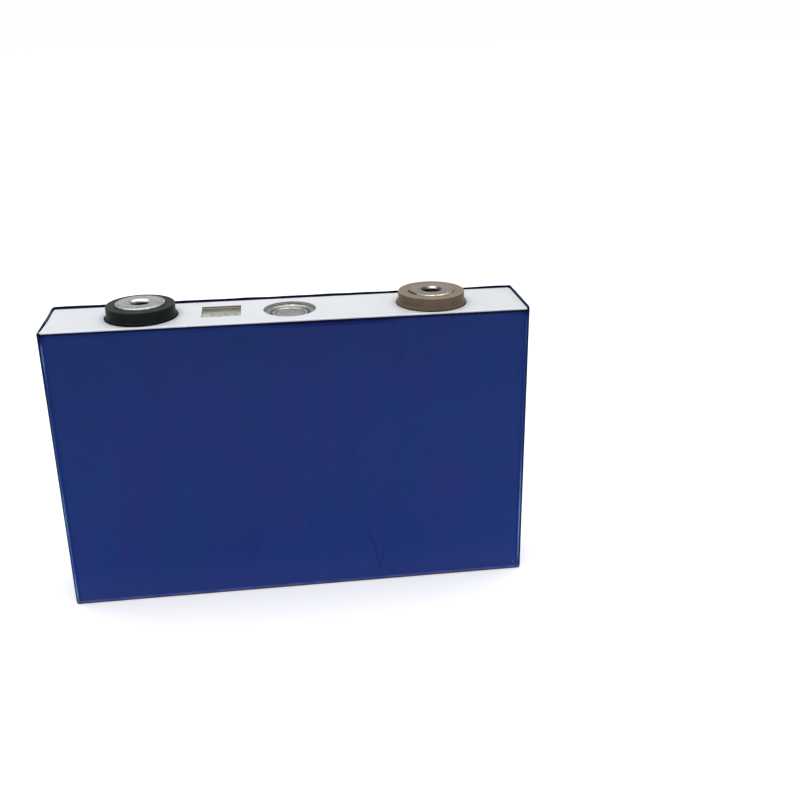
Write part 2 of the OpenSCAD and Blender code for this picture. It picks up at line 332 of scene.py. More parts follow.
# ---------------------------------------------------------------- materials
def film_base(s, x, z):
    """The film's colour: blue, with long upright bands of purple and teal, and painted shading that darkens it towards
    the top left.
    """
    band = s.noise(s.p, 1.0, 3.0, 0.55, 0.3, stretch=(0.032, 0.045, 0.013))
    fine = s.noise(s.p, 1.0, 2.0, 0.5, 0.0, stretch=(0.22, 0.22, 0.02))
    col = s.ramp(band, [(0.30, (0.0012, 0.0205, 0.122)), (0.45, (0.0052, 0.0165, 0.126)),
                        (0.56, (0.0014, 0.0200, 0.130)), (0.72, (0.0068, 0.0170, 0.132))])
    col = s.mix(s.remap(fine, 0.35, 0.7, 0.0, 0.28), col, (0.0045, 0.020, 0.138))
    # soft smudges where the film is not quite stuck down
    sm = s.noise(s.p, 1.0, 3.0, 0.6, 0.8, stretch=(0.10, 0.10, 0.045))
    col = s.mix(s.remap(sm, 0.58, 0.72, 0.0, 0.42), col, (0.0008, 0.012, 0.095))
    sm2 = s.noise(s.vmath("ADD", s.p, (31.0, 0.0, 17.0)), 1.0, 2.0, 0.6, 0.5, stretch=(0.16, 0.16, 0.10))
    col = s.mix(s.remap(sm2, 0.62, 0.74, 0.0, 0.40), col, (0.0060, 0.012, 0.098))
    # painted shading: a gradient over height and across, darker towards the top left and lighter low down
    u = s.math("ADD", s.math("DIVIDE", z, 92.0), s.math("MULTIPLY", x, -0.0007))
    painted_shading = s.ramp(u, [(0.0, 0.92), (0.08, 0.89), (0.20, 0.79), (0.34, 0.735), (0.60, 0.70), (0.85, 0.64), (1.0, 0.57)])
    painted_shading = s.vmath("SCALE", painted_shading, scale=1.36)
    # redder low down
    col = s.mix(s.remap(z, 3.0, 15.0, 0.60, 0.0, smooth=True), col, (0.0125, 0.0250, 0.130))
    return s.mix(1.0, col, painted_shading, "MULTIPLY")


def film_wear(s, x, y, z):
    sc = s.noise(s.p, 1.0, 6.0, 0.75, 1.5, stretch=(0.5, 0.5, 0.10))
    return s.remap(sc, 0.65, 0.76, 0.0, 0.22)


def film_bumps(s):
    peel = s.noise(s.p, 0.55, 2.0, 0.5)
    micro = s.noise(s.p, 3.0, 3.0, 0.6, stretch=(1, 1, 0.25))
    s.bumps((peel, 0.000022), (micro, 0.0000022))


def mat_film():
    """The flat of the film."""
    s = Shade("film_blue", Metallic=0.0, Specular_IOR_Level=0.115)
    x, y, z = s.split(s.p)
    col = film_base(s, x, z)
    scuff = film_wear(s, x, y, z)
    col = s.mix(s.math("MULTIPLY", scuff, 0.35), col, (0.035, 0.055, 0.22))
    # painted light: brighter close under the top edge, but for the stretch where the film dips
    top = s.math("MULTIPLY", s.remap(z, z_film - 2.6, z_film - 1.2, 0.0, 1.0, smooth=True), s.remap(z, z_film - 0.45, z_film - 0.15, 1.0, 0.0))
    top = s.math("MULTIPLY", top, s.remap(s.math("ABSOLUTE", s.math("SUBTRACT", x, 12.0)), 15.0, 25.0, 0.0, 1.0, smooth=True))
    col = s.mix(s.math("MULTIPLY", top, 0.45), col, (0.0125, 0.0310, 0.135))
    # the pinched V: shadow in the pinch, a little light on its left
    front = s.math("LESS_THAN", y, -5.0)
    for ax, az, bx, bz, amp in PINCH:
        m = s.math("MULTIPLY", seg_mask(s, x, z, ax, az, bx, bz, 0.75), front)
        col = s.mix(s.math("MULTIPLY", m, 0.42 * amp), col, (0.0008, 0.0085, 0.075))
        m = s.math("MULTIPLY", seg_mask(s, x, z, ax - 0.75, az - 0.15, bx - 0.75, bz - 0.15, 0.6), front)
        col = s.mix(s.math("MULTIPLY", m, 0.16 * amp), col, (0.012, 0.040, 0.180))
    # the trapped bubble: a bright crescent on its left, shadow on its right
    b1 = s.math("SQRT", s.math("ADD", s.math("POWER", s.math("SUBTRACT", x, 71.40), 2.0), s.math("POWER", s.math("SUBTRACT", z, 2.6), 2.0)))
    s_b = s.math("MULTIPLY", s.remap(b1, 0.25, 0.6, 1.0, 0.0, smooth=True), front)
    col = s.mix(s.math("MULTIPLY", s_b, 0.75), col, (0.075, 0.115, 0.290))
    s.set("Base Color", col)
    rough = s.remap(s.noise(s.p, 0.12, 3.0, 0.6), 0.3, 0.7, 0.16, 0.27)
    s.set("Roughness", s.math("ADD", rough, s.math("MULTIPLY", scuff, 0.35), clamp=True))
    film_bumps(s)
    return s.m


def mat_film_edge():
    """The same film where it is drawn tight round an edge, with painted light: a pale painted highlight, with lines of
    painted shade and violet painted highlights beside it.
    """
    s = Shade("film_blue_edges", Metallic=0.0, Specular_IOR_Level=0.03)
    x, y, z = s.split(s.p)
    nx, ny, nz = s.split(s.n)
    hx, hy = cell_w / 2, cell_d / 2
    tx = s.math("SUBTRACT", hx, s.math("ABSOLUTE", x))
    ty = s.math("SUBTRACT", hy, s.math("ABSOLUTE", y))
    broad = s.math("GREATER_THAN", tx, ty)
    t = s.mix(broad, (0.0, 0.0, 0.0), tx)  # in from the narrow face, on the broad one
    u = s.mix(broad, ty, (0.0, 0.0, 0.0))  # in from the broad face, on the narrow one
    zf = s.math("DIVIDE", z, 92.0)
    base = film_base(s, x, z)
    # painted sheen: a little grey added in place of the reflection that this material's low specular leaves out
    flat = s.mix(1.0, base, (0.0074, 0.0074, 0.0078), "ADD")
    onx = s.math("GREATER_THAN", x, 0.0)
    # how strong the painted pale highlight is, up each edge
    left = s.ramp(zf, [(0.0, 0.55), (0.02, 0.9), (0.095, 1.0), (0.125, 0.38), (0.20, 0.32), (0.33, 0.75), (0.40, 0.60),
                       (0.46, 0.22), (0.80, 0.10), (0.87, 0.30), (0.90, 0.58), (0.935, 0.66), (0.96, 0.45), (0.975, 0.0)])
    right = s.ramp(zf, [(0.0, 0.0), (0.030, 0.10), (0.060, 0.60), (0.11, 1.0), (0.28, 0.95), (0.36, 0.60), (0.44, 0.30),
                        (0.50, 0.08), (0.85, 0.05), (0.93, 0.20), (0.985, 0.0)])
    up = s.mix(onx, left, right)
    patchiness = s.noise(s.join(s.math("SIGN", x), s.math("SIGN", y), s.math("MULTIPLY", z, 0.16)), 1.0, 3.0, 0.6)
    up = s.math("MULTIPLY", up, s.remap(patchiness, 0.30, 0.62, 0.60, 1.0))
    wander = s.noise(s.join(s.math("MULTIPLY", z, 0.09), s.math("SIGN", x), 5.0), 1.0, 2.0, 0.5)
    middle = s.mix(onx, s.ramp(zf, [(0.0, 0.84), (0.60, 0.84), (0.86, 1.0), (1.0, 1.0)]), (1.0, 1.0, 1.0))
    middle = s.math("ADD", middle, s.math("MULTIPLY", s.math("MAXIMUM", onx, s.math("GREATER_THAN", zf, 0.8)), 0.13))
    centre = s.math("ADD", middle, s.math("MULTIPLY", s.math("SUBTRACT", wander, 0.5), 0.22))
    off = s.math("DIVIDE", s.math("SUBTRACT", t, centre), 0.21)
    pale = s.math("MULTIPLY", s.math("EXPONENT", s.math("MULTIPLY", s.math("MULTIPLY", off, off), -1.0)), up)
    pale = s.math("MULTIPLY", pale, broad)
    # painted shade: dark on the very corner; painted reflection: dark blue-green just inside the pale highlight
    rel = s.math("SUBTRACT", t, centre)
    dark = s.remap(rel, -0.44, -0.20, 1.0, 0.0, smooth=True)
    dark = s.math("MULTIPLY", s.math("MULTIPLY", dark, 0.95), s.remap(u, 0.9, 1.9, 1.0, 0.0, smooth=True))
    t2 = s.math("ADD", t, u)
    rel2 = s.math("SUBTRACT", t2, centre)
    teal = s.math("MULTIPLY", s.remap(rel2, 0.24, 0.46, 0.0, 1.0, smooth=True), s.remap(rel2, 0.65, 1.05, 1.0, 0.0, smooth=True))
    teal = s.math("MULTIPLY", teal, s.math("ADD", s.math("MULTIPLY", up, 0.75), 0.20, clamp=True))
    beyond = s.remap(t2, 1.6, 2.3, 0.0, 1.0, smooth=True)
    # painted sheen, smaller on the rounded edge than beyond it
    upright = s.mix(beyond, s.mix(1.0, base, (0.0035, 0.0035, 0.0045), "ADD"), flat)
    upright = s.mix(s.math("MULTIPLY", teal, 0.8), upright, (0.0022, 0.0195, 0.100))
    upright = s.mix(dark, upright, (0.0016, 0.0042, 0.030))
    # painted shade on the left edges, near the top
    head = s.math("MULTIPLY", s.math("SUBTRACT", 1.0, onx), s.remap(zf, 0.945, 0.970, 0.0, 1.0, smooth=True))
    upright = s.mix(s.math("MULTIPLY", head, s.remap(t, 1.05, 1.45, 0.95, 0.0, smooth=True)), upright, (0.0012, 0.0030, 0.022))
    upright = s.mix(s.math("MULTIPLY", pale, 0.95), upright, (0.145, 0.262, 0.490))
    # painted highlight: thin violet line right on the corner, on the upper part
    vio = s.math("MULTIPLY", s.remap(u, 0.14, 0.32, 0.0, 1.0, smooth=True), s.ramp(zf, [(0.0, 0.0), (0.32, 0.0), (0.42, 0.40), (0.55, 0.70), (0.78, 0.15), (0.90, 0.50), (0.94, 0.75)]))
    vio = s.math("MULTIPLY", vio, s.math("ADD", s.math("MULTIPLY", onx, 0.75), 0.25))
    vio = s.math("MULTIPLY", vio, s.remap(u, 0.85, 1.15, 1.0, 0.0, smooth=True))
    upright = s.mix(s.math("MULTIPLY", vio, 0.95), upright, (0.046, 0.052, 0.190))
    edge = s.math("MULTIPLY", s.remap(t, 2.2, 2.45, 1.0, 0.0, smooth=True), s.remap(u, 1.15, 1.42, 1.0, 0.0, smooth=True))
    col = s.mix(edge, flat, upright)
    # painted shade under the top fold: a dark line, then a deep blue band that comes and goes
    zt = s.math("SUBTRACT", z_film, z)
    patch = s.noise(s.join(s.math("MULTIPLY", x, 0.030), s.math("MULTIPLY", y, 0.02), 3.0), 1.0, 2.0, 0.6)
    patch = s.remap(patch, 0.42, 0.62, 0.0, 1.0)
    deep = s.math("MULTIPLY", s.remap(zt, 1.0, 2.1, 1.0, 0.0, smooth=True), patch)
    col = s.mix(s.math("MULTIPLY", deep, 0.9), col, (0.0012, 0.0075, 0.082))
    line = s.remap(zt, 0.35, 0.95, 1.0, 0.0, smooth=True)
    col = s.mix(s.math("MULTIPLY", line, 0.95), col, (0.0012, 0.0035, 0.030))
    # painted highlight above the base: a violet line, broken, over a line of painted shade
    vn = s.remap(s.noise(s.join(s.math("MULTIPLY", x, 0.07), s.math("MULTIPLY", y, 0.07), 9.0), 1.0, 2.0, 0.5), 0.38, 0.56, 0.35, 1.0)
    low = s.math("MULTIPLY", s.remap(z, 0.45, 0.62, 0.0, 1.0, smooth=True), s.remap(z, 0.85, 1.45, 1.0, 0.0, smooth=True))
    col = s.mix(s.math("MULTIPLY", s.math("MULTIPLY", low, vn), 0.9), col, (0.088, 0.094, 0.240))
    col = s.mix(s.math("MULTIPLY", s.remap(z, 0.34, 0.56, 1.0, 0.0, smooth=True), 0.92), col, (0.0060, 0.0075, 0.030))
    # painted light: brighter close under the front top edge, but for the stretch where the film dips
    top = s.math("MULTIPLY", s.remap(z, z_film - 2.6, z_film - 1.2, 0.0, 1.0, smooth=True), s.remap(z, z_film - 0.45, z_film - 0.15, 1.0, 0.0))
    top = s.math("MULTIPLY", top, s.remap(s.math("ABSOLUTE", s.math("SUBTRACT", x, 12.0)), 15.0, 25.0, 0.0, 1.0, smooth=True))
    top = s.math("MULTIPLY", top, s.math("LESS_THAN", s.math("ABSOLUTE", x), cell_w / 2 - 2.5))
    col = s.mix(s.math("MULTIPLY", top, 0.45), col, (0.0125, 0.0310, 0.135))
    s.set("Base Color", col)
    s.set("Roughness", s.remap(s.noise(s.p, 0.12, 3.0, 0.6), 0.3, 0.7, 0.30, 0.42))
    film_bumps(s)
    return s.m


def mat_sheet():
    s = Shade("white_sheet_card", Specular_IOR_Level=0.32)
    x, y, z = s.split(s.p)
    cloud = s.noise(s.p, 0.06, 3.0, 0.55)
    col = s.ramp(cloud, [(0.30, (0.585, 0.612, 0.650)), (0.5, (0.605, 0.622, 0.650)), (0.7, (0.612, 0.632, 0.636))])
    # a little greyer towards the positive end
    col = s.mix(s.remap(x, 20.0, 74.0, 0.0, 0.8), col, (0.560, 0.590, 0.585))
    fibre = s.noise(s.p, 1.0, 4.0, 0.7, 0.4, stretch=(0.35, 1.8, 1.0))
    col = s.mix(s.remap(fibre, 0.35, 0.75, 0.0, 0.22), col, (0.52, 0.545, 0.59))
    # handling marks over the sheet, and painted shade round the terminals
    mark = s.noise(s.p, 1.0, 3.0, 0.6, 0.6, stretch=(0.12, 0.45, 1.0))
    col = s.mix(s.remap(mark, 0.56, 0.74, 0.0, 0.35), col, (0.48, 0.50, 0.55))
    for tx in (term_x["negative"], term_x["positive"]):
        r = s.vmath("DISTANCE", s.p, (tx, 0.0, z_top))
        ring_shade = s.math("MULTIPLY", s.remap(r, 11.3, 13.6, 1.0, 0.0, smooth=True), s.remap(s.noise(s.p, 0.6, 3.0, 0.6), 0.35, 0.65, 0.1, 0.55))
        col = s.mix(ring_shade, col, (0.40, 0.42, 0.45))
    # a few specks of dust pressed into it
    sp = s.voronoi(s.p, 0.16)
    pick = s.white(s.vmath("SNAP", s.p, (9.0, 9.0, 50.0)))
    speck = s.math("MULTIPLY", s.math("LESS_THAN", sp, 0.035), s.math("GREATER_THAN", pick, 0.72))
    col = s.mix(s.math("MULTIPLY", speck, 0.8), col, (0.30, 0.32, 0.38))
    one = s.vmath("DISTANCE", s.p, (-28.6, 10.1, 92.4))
    col = s.mix(s.remap(one, 0.20, 0.45, 0.95, 0.0, smooth=True), col, (0.03, 0.03, 0.06))
    # cut walls of the two windows: the rectangular one's walls dark olive, partly adhesive and partly painted shade;
    # the vent's wall painted darker as shade, darkest in a band just under its top edge, which keeps the sheet's white
    wx, wy = (win["x0"] + win["x1"]) / 2, (win["y0"] + win["y1"]) / 2
    dx = s.math("SUBTRACT", s.math("ABSOLUTE", s.math("SUBTRACT", x, wx)), (win["x1"] - win["x0"]) / 2)
    dy = s.math("SUBTRACT", s.math("ABSOLUTE", s.math("SUBTRACT", y, wy)), (win["y1"] - win["y0"]) / 2)
    cut = s.remap(s.math("MAXIMUM", dx, dy), 0.02, 0.05, 1.0, 0.0)
    col = s.mix(cut, col, (0.185, 0.178, 0.138))
    vy = s.math("ADD", s.math("MULTIPLY", s.math("MAXIMUM", y, 0.0), 8.2 / 8.1), s.math("MULTIPLY", s.math("MINIMUM", y, 0.0), 8.2 / 8.4))
    vr = s.math("SQRT", s.math("ADD", s.math("POWER", s.math("SUBTRACT", x, vent_x), 2.0), s.math("POWER", vy, 2.0)))
    wall = s.mix(s.remap(z, z_top - 0.36, z_top - 0.30, 0.0, 1.0, smooth=True), (0.330, 0.322, 0.305), (0.120, 0.115, 0.100))
    wall = s.mix(s.remap(z, z_top - 0.24, z_top - 0.18, 0.0, 1.0, smooth=True), wall, (0.600, 0.620, 0.640))
    col = s.mix(s.remap(vr, 8.22, 8.25, 1.0, 0.0), col, wall)
    # painted highlight along the cut front edge
    run = s.math("SUBTRACT", y, s.remap(x, film_lo[0], film_hi[0], 0.30, 0.65))
    rim = s.remap(run, film_lo[1] + 0.55, film_lo[1] + 0.95, 1.0, 0.0, smooth=True)
    col = s.mix(s.math("MULTIPLY", rim, 0.85), col, (0.70, 0.76, 0.84))
    # painted shade and painted reflection of the film's springy lip along the rear margin
    rear_shade = s.math("SUBTRACT", s.math("SUBTRACT", y, film_hi[1] - 1.34), s.remap(x, -74.0, 74.0, -0.80, -0.10))
    rear_shade = s.math("ADD", rear_shade, s.remap(s.noise(s.p, 0.12, 3.0, 0.6), 0.3, 0.7, -0.12, 0.12))
    col = s.mix(s.remap(rear_shade, -0.10, 0.14, 0.0, 0.96, smooth=True), col, (0.020, 0.022, 0.075))
    s.set("Base Color", col)
    s.set("Roughness", s.remap(s.noise(s.p, 0.25, 3.0, 0.6), 0.3, 0.7, 0.36, 0.50))
    s.bumps((s.noise(s.p, 0.09, 2.0, 0.5), 0.00006), (fibre, 0.000004), (s.noise(s.p, 5.0, 2.0, 0.6), 0.0000025))
    return s.m


def mat_moulded(name, light, dark, rim, spec=0.3, rough=(0.38, 0.52), top=None):
    """Moulded plastic with flow marks, a spark-eroded grain, a greyer top and a painted highlight on its rim."""
    s = Shade(name, Specular_IOR_Level=spec)
    x, y, z = s.split(s.p)
    nx, ny, nz = s.split(s.n)
    flow = s.noise(s.p, 0.35, 4.0, 0.6, 0.8)
    col = s.ramp(flow, [(0.28, dark), (0.5, tuple((a + b) / 2 for a, b in zip(light, dark))), (0.72, light)])
    grain = s.noise(s.p, 4.5, 3.0, 0.7)
    col = s.mix(s.remap(grain, 0.45, 0.75, 0.0, 0.25), col, tuple(min(1, c * 1.7) for c in light))
    high = s.remap(z, z_top + 3.2, z_top + 3.8, 0.0, 1.0, smooth=True)
    if top is not None:
        # the top face, lighter in patches and scratched by busbars
        up = s.math("MULTIPLY", s.remap(nz, 0.55, 0.9, 0.0, 1.0, smooth=True), high)
        dust = s.remap(s.noise(s.p, 0.55, 4.0, 0.65, 0.5), 0.30, 0.62, 0.45, 1.0)
        col = s.mix(s.math("MULTIPLY", up, dust), col, top)
        scratch = s.noise(s.p, 1.0, 3.0, 0.7, 1.2, stretch=(0.5, 3.2, 1.0))
        col = s.mix(s.math("MULTIPLY", up, s.remap(scratch, 0.60, 0.72, 0.0, 0.5)), col, rim)
    # painted highlight where the top turns over into the sides
    turn = s.math("MULTIPLY", s.math("ABSOLUTE", nz), s.math("SQRT", s.math("SUBTRACT", 1.0, s.math("MULTIPLY", nz, nz), clamp=True)))
    rim_highlight = s.math("MULTIPLY", s.remap(turn, 0.22, 0.5, 0.0, 1.0), s.remap(s.noise(s.p, 0.8, 3.0, 0.6), 0.35, 0.6, 0.35, 1.0))
    rim_highlight = s.math("MULTIPLY", rim_highlight, high)
    col = s.mix(s.math("MULTIPLY", rim_highlight, 0.75), col, rim)
    # upright drag marks on the wall, and darker low down where it meets the sheet
    drag = s.noise(s.p, 1.0, 2.0, 0.6, 0.0, stretch=(1.6, 1.6, 0.12))
    col = s.mix(s.remap(drag, 0.55, 0.75, 0.0, 0.22), col, tuple(c * 0.6 for c in dark))
    foot = s.remap(z, z_top - 0.1, z_top + 0.9, 1.0, 0.0, smooth=True)
    col = s.mix(s.math("MULTIPLY", foot, 0.35), col, tuple(c * 0.45 for c in dark))
    s.set("Base Color", col)
    s.set("Roughness", s.remap(flow, 0.3, 0.7, rough[0], rough[1]))
    s.bumps((flow, 0.00003), (grain, 0.000014))
    return s.m


def mat_turned(name, base, tint, stain, rough=(0.22, 0.42), patina=0.4, marks=0.000006, top=None, bore=0.9, lip=0.5, rad=7.5, glint_colour=(0.76, 0.77, 0.77), near=0.0, sink=1.0):
    """Turned metal: rings round Z, cloudy oxide, pits and a painted highlight on the corner."""
    s = Shade(name, Metallic=1.0)
    x, y, z = s.split(s.p)
    nx, ny, nz = s.split(s.n)
    r = s.math("SQRT", s.math("ADD", s.math("MULTIPLY", x, x), s.math("MULTIPLY", y, y)))
    ringv = s.join(s.math("MULTIPLY", r, 1.0), s.math("MULTIPLY", z, 1.0), 0.0)
    turn = s.noise(ringv, 9.0, 3.0, 0.7)
    broad = s.noise(ringv, 1.6, 2.0, 0.5)
    cloud = s.noise(s.p, 0.42, 5.0, 0.62, 0.6)
    col = s.ramp(cloud, [(0.30, stain), (0.46, base), (0.60, tint), (0.75, base)])
    col = s.mix(s.remap(turn, 0.35, 0.7, 0.0, 0.35), col, tuple(c * 0.72 for c in base))
    pits = s.noise(s.p, 2.4, 5.0, 0.75, 0.3)
    pit = s.remap(pits, 0.58, 0.70, 0.0, 1.0)
    col = s.mix(s.math("MULTIPLY", pit, patina), col, tuple(c * 0.45 for c in stain))
    rg = s.remap(cloud, 0.3, 0.7, rough[0], rough[1])
    if top is not None:
        # a ring darker in patches in the groove near the rim, and a painted highlight on the corner
        patchiness = s.remap(s.noise(s.p, 1.3, 3.0, 0.65), 0.40, 0.62, 0.15, 1.0)
        groove = s.math("MULTIPLY", s.remap(r, rad - 1.05, rad - 0.90, 0.0, 1.0, smooth=True), s.remap(r, rad - 0.78, rad - 0.62, 1.0, 0.0, smooth=True))
        col = s.mix(s.math("MULTIPLY", s.math("MULTIPLY", groove, patchiness), 0.55), col, tuple(c * 0.35 for c in stain))
        corner = s.math("MULTIPLY", s.remap(r, rad - 0.42, rad - 0.24, 0.0, 1.0, smooth=True), s.remap(z, top - 0.36, top - 0.24, 0.0, 1.0, smooth=True))
        if near > 0:
            # the painted highlight only on the near side, dull elsewhere
            toward = s.math("DIVIDE", s.math("SUBTRACT", s.math("MULTIPLY", x, 0.22), y), r)
            toward = s.remap(toward, 0.70, 0.93, 1.0 - near, 1.0, smooth=True)
            corner = s.math("MULTIPLY", corner, toward)
        col = s.mix(s.math("MULTIPLY", s.math("MULTIPLY", corner, patchiness), lip), col, glint_colour)
        if near <= 0:
            # painted glint on the far side of the countersink
            cone = s.math("MULTIPLY", s.math("LESS_THAN", r, 3.42), s.math("GREATER_THAN", z, top - bore))
            far = s.remap(s.math("DIVIDE", y, s.math("MAXIMUM", r, 0.1)), 0.35, 0.75, 0.0, 1.0, smooth=True)
            col = s.mix(s.math("MULTIPLY", s.math("MULTIPLY", cone, far), 0.8), col, (0.97, 0.97, 0.98))
        if near > 0:
            # shadow in the gap on its left, where it sits a little deeper
            gap = s.math("DIVIDE", s.math("ADD", s.math("MULTIPLY", x, -0.94), s.math("MULTIPLY", y, -0.34)), r)
            gap = s.math("MULTIPLY", s.remap(gap, 0.90, 0.96, 0.0, 1.0, smooth=True), s.remap(r, rad - 0.42, rad - 0.28, 0.0, 1.0, smooth=True))
            col = s.mix(s.math("MULTIPLY", gap, 0.9), col, (0.030, 0.026, 0.020))
        if sink < 1.0:
            # painted shade in the countersink but for one facet, and a painted glint on that facet
            cone = s.math("MULTIPLY", s.math("LESS_THAN", r, 3.42), s.math("LESS_THAN", z, top - 0.02))
            facet = s.math("DIVIDE", s.math("ADD", s.math("MULTIPLY", x, 0.35), y), s.math("MAXIMUM", r, 0.1))
            facet = s.remap(facet, 0.85, 1.0, 1.0, 0.0, smooth=True)
            col = s.mix(s.math("MULTIPLY", s.math("MULTIPLY", cone, facet), 1.0 - sink), col, tuple(c * 0.25 for c in stain))
            spot = s.math("DIVIDE", s.math("ADD", s.math("MULTIPLY", x, 0.30), s.math("MULTIPLY", y, 0.954)), s.math("MAXIMUM", r, 0.1))
            spot = s.math("MULTIPLY", s.math("MULTIPLY", cone, s.remap(spot, 0.955, 0.985, 0.0, 1.0, smooth=True)), s.math("GREATER_THAN", r, 2.95))
            col = s.mix(s.math("MULTIPLY", spot, 0.95), col, (0.98, 0.95, 0.88))
        # painted shade down the threaded bore
        deep = s.remap(z, top - bore - 0.16, top - bore + 0.12, 1.0, 0.0, smooth=True)
        inside = s.math("MULTIPLY", s.math("LESS_THAN", r, 3.35), deep)
        bore_shade = s.math("MULTIPLY", inside, s.remap(s.noise(s.p, 1.1, 3.0, 0.6), 0.35, 0.65, 0.84, 1.0))
        col = s.mix(bore_shade, col, (0.012, 0.012, 0.014))
    s.set("Base Color", col)
    rg = s.math("ADD", rg, s.math("MULTIPLY", pit, 0.2), clamp=True)
    s.set("Roughness", rg)
    s.bumps((broad, marks * 2.5), (turn, marks), (pits, 0.000012))
    return s.m


def mat_brushed(name, base, stain, axis=1, period=0.18, rough=(0.30, 0.45), cloudy=0.45, metallic=1.0, depth=0.000007):
    """Rolled or brushed sheet metal."""
    s = Shade(name, Metallic=metallic)
    l1 = lines(s, s.p, period, axis)
    l2 = lines(s, s.p, period * 3.7, axis)
    cloud = s.noise(s.p, 0.22, 4.0, 0.6, 0.3)
    col = s.ramp(cloud, [(0.3, stain), (0.55, base), (0.8, base)])
    col = s.mix(s.remap(l1, 0.3, 0.7, 0.0, cloudy), col, tuple(c * 0.7 for c in base))
    s.set("Base Color", col)
    s.set("Roughness", s.remap(s.math("ADD", s.math("MULTIPLY", cloud, 0.6), s.math("MULTIPLY", l2, 0.4)), 0.35, 0.65, rough[0], rough[1]))
    s.bumps((l2, depth * 2), (l1, depth))
    return s.m


def mat_lid(wx, wy, ww, wd):
    """Bare lid: milled along X, with an etched field of random dots in the window."""
    s = Shade("lid_aluminium", Metallic=1.0)
    x, y, z = s.split(s.p)
    l1 = lines(s, s.p, 0.22, 1)
    l2 = lines(s, s.p, 0.9, 1)
    cloud = s.noise(s.p, 0.30, 4.0, 0.6, 0.5)
    col = s.ramp(cloud, [(0.30, (0.245, 0.245, 0.205)), (0.5, (0.310, 0.312, 0.280)), (0.7, (0.37, 0.378, 0.350))])
    col = s.mix(s.remap(l2, 0.35, 0.65, 0.0, 0.45), col, (0.245, 0.230, 0.185))
    # in the window: painted shade in a strip at the rear, then a warm painted reflection, then a lighter near half
    rear_shade = s.remap(y, wy + wd * 0.14, wy + wd * 0.34, 0.0, 1.0, smooth=True)
    fore = s.remap(y, wy - wd * 0.04, wy + wd * 0.04, 1.0, 0.0, smooth=True)
    col = s.mix(s.math("MULTIPLY", fore, 0.92), col, (0.610, 0.630, 0.565))
    col = s.mix(s.math("MULTIPLY", rear_shade, 0.85), col, (0.238, 0.222, 0.155))
    warm_reflection = s.math("MULTIPLY", s.remap(y, wy - wd * 0.06, wy + wd * 0.05, 0.0, 1.0, smooth=True), s.remap(y, wy + wd * 0.10, wy + wd * 0.20, 1.0, 0.0, smooth=True))
    sn = s.remap(s.noise(s.p, 1.0, 3.0, 0.6, 0.3, stretch=(0.25, 0.6, 1.0)), 0.35, 0.6, 0.3, 1.0)
    col = s.mix(s.math("MULTIPLY", s.math("MULTIPLY", warm_reflection, sn), 0.8), col, (0.58, 0.535, 0.425))
    # etched dots, on a half-millimetre grid, in the near half of the window
    cell = 0.42
    g = s.vmath("SNAP", s.p, (cell, cell, 100.0))
    on = s.math("GREATER_THAN", s.white(g), 0.47)
    fx = s.math("ABSOLUTE", s.math("SUBTRACT", s.math("FRACT", s.math("DIVIDE", x, cell)), 0.5))
    fy = s.math("ABSOLUTE", s.math("SUBTRACT", s.math("FRACT", s.math("DIVIDE", y, cell)), 0.5))
    dot = s.math("LESS_THAN", s.math("ADD", s.math("MULTIPLY", fx, fx), s.math("MULTIPLY", fy, fy)), 0.19)
    field = None
    x0, x1 = wx - ww * 0.30, wx + ww * 0.42
    y0, y1 = wy - wd * 0.44, wy + wd * 0.04
    for v, a, b in ((x, x0, x1), (y, y0, y1)):
        g1 = s.math("MULTIPLY", s.math("GREATER_THAN", v, a), s.math("LESS_THAN", v, b))
        field = g1 if field is None else s.math("MULTIPLY", field, g1)
    etched = s.math("MULTIPLY", s.math("MULTIPLY", on, dot), field)
    col = s.mix(s.math("MULTIPLY", field, 0.55), col, (0.520, 0.590, 0.525))
    coarse = s.math("GREATER_THAN", s.white(s.vmath("SNAP", s.p, (0.84, 1.26, 100.0))), 0.55)
    col = s.mix(s.math("MULTIPLY", s.math("MULTIPLY", coarse, field), 0.42), col, (0.19, 0.25, 0.21))
    col = s.mix(s.math("MULTIPLY", etched, 0.85), col, (0.21, 0.28, 0.23))
    s.set("Base Color", col)
    rg = s.remap(cloud, 0.3, 0.7, 0.34, 0.48)
    rg = s.math("ADD", rg, s.math("MULTIPLY", etched, 0.25), clamp=True)
    s.set("Roughness", rg)
    s.bumps((l2, 0.000010), (l1, 0.000006), (etched, 0.000012))
    return s.m


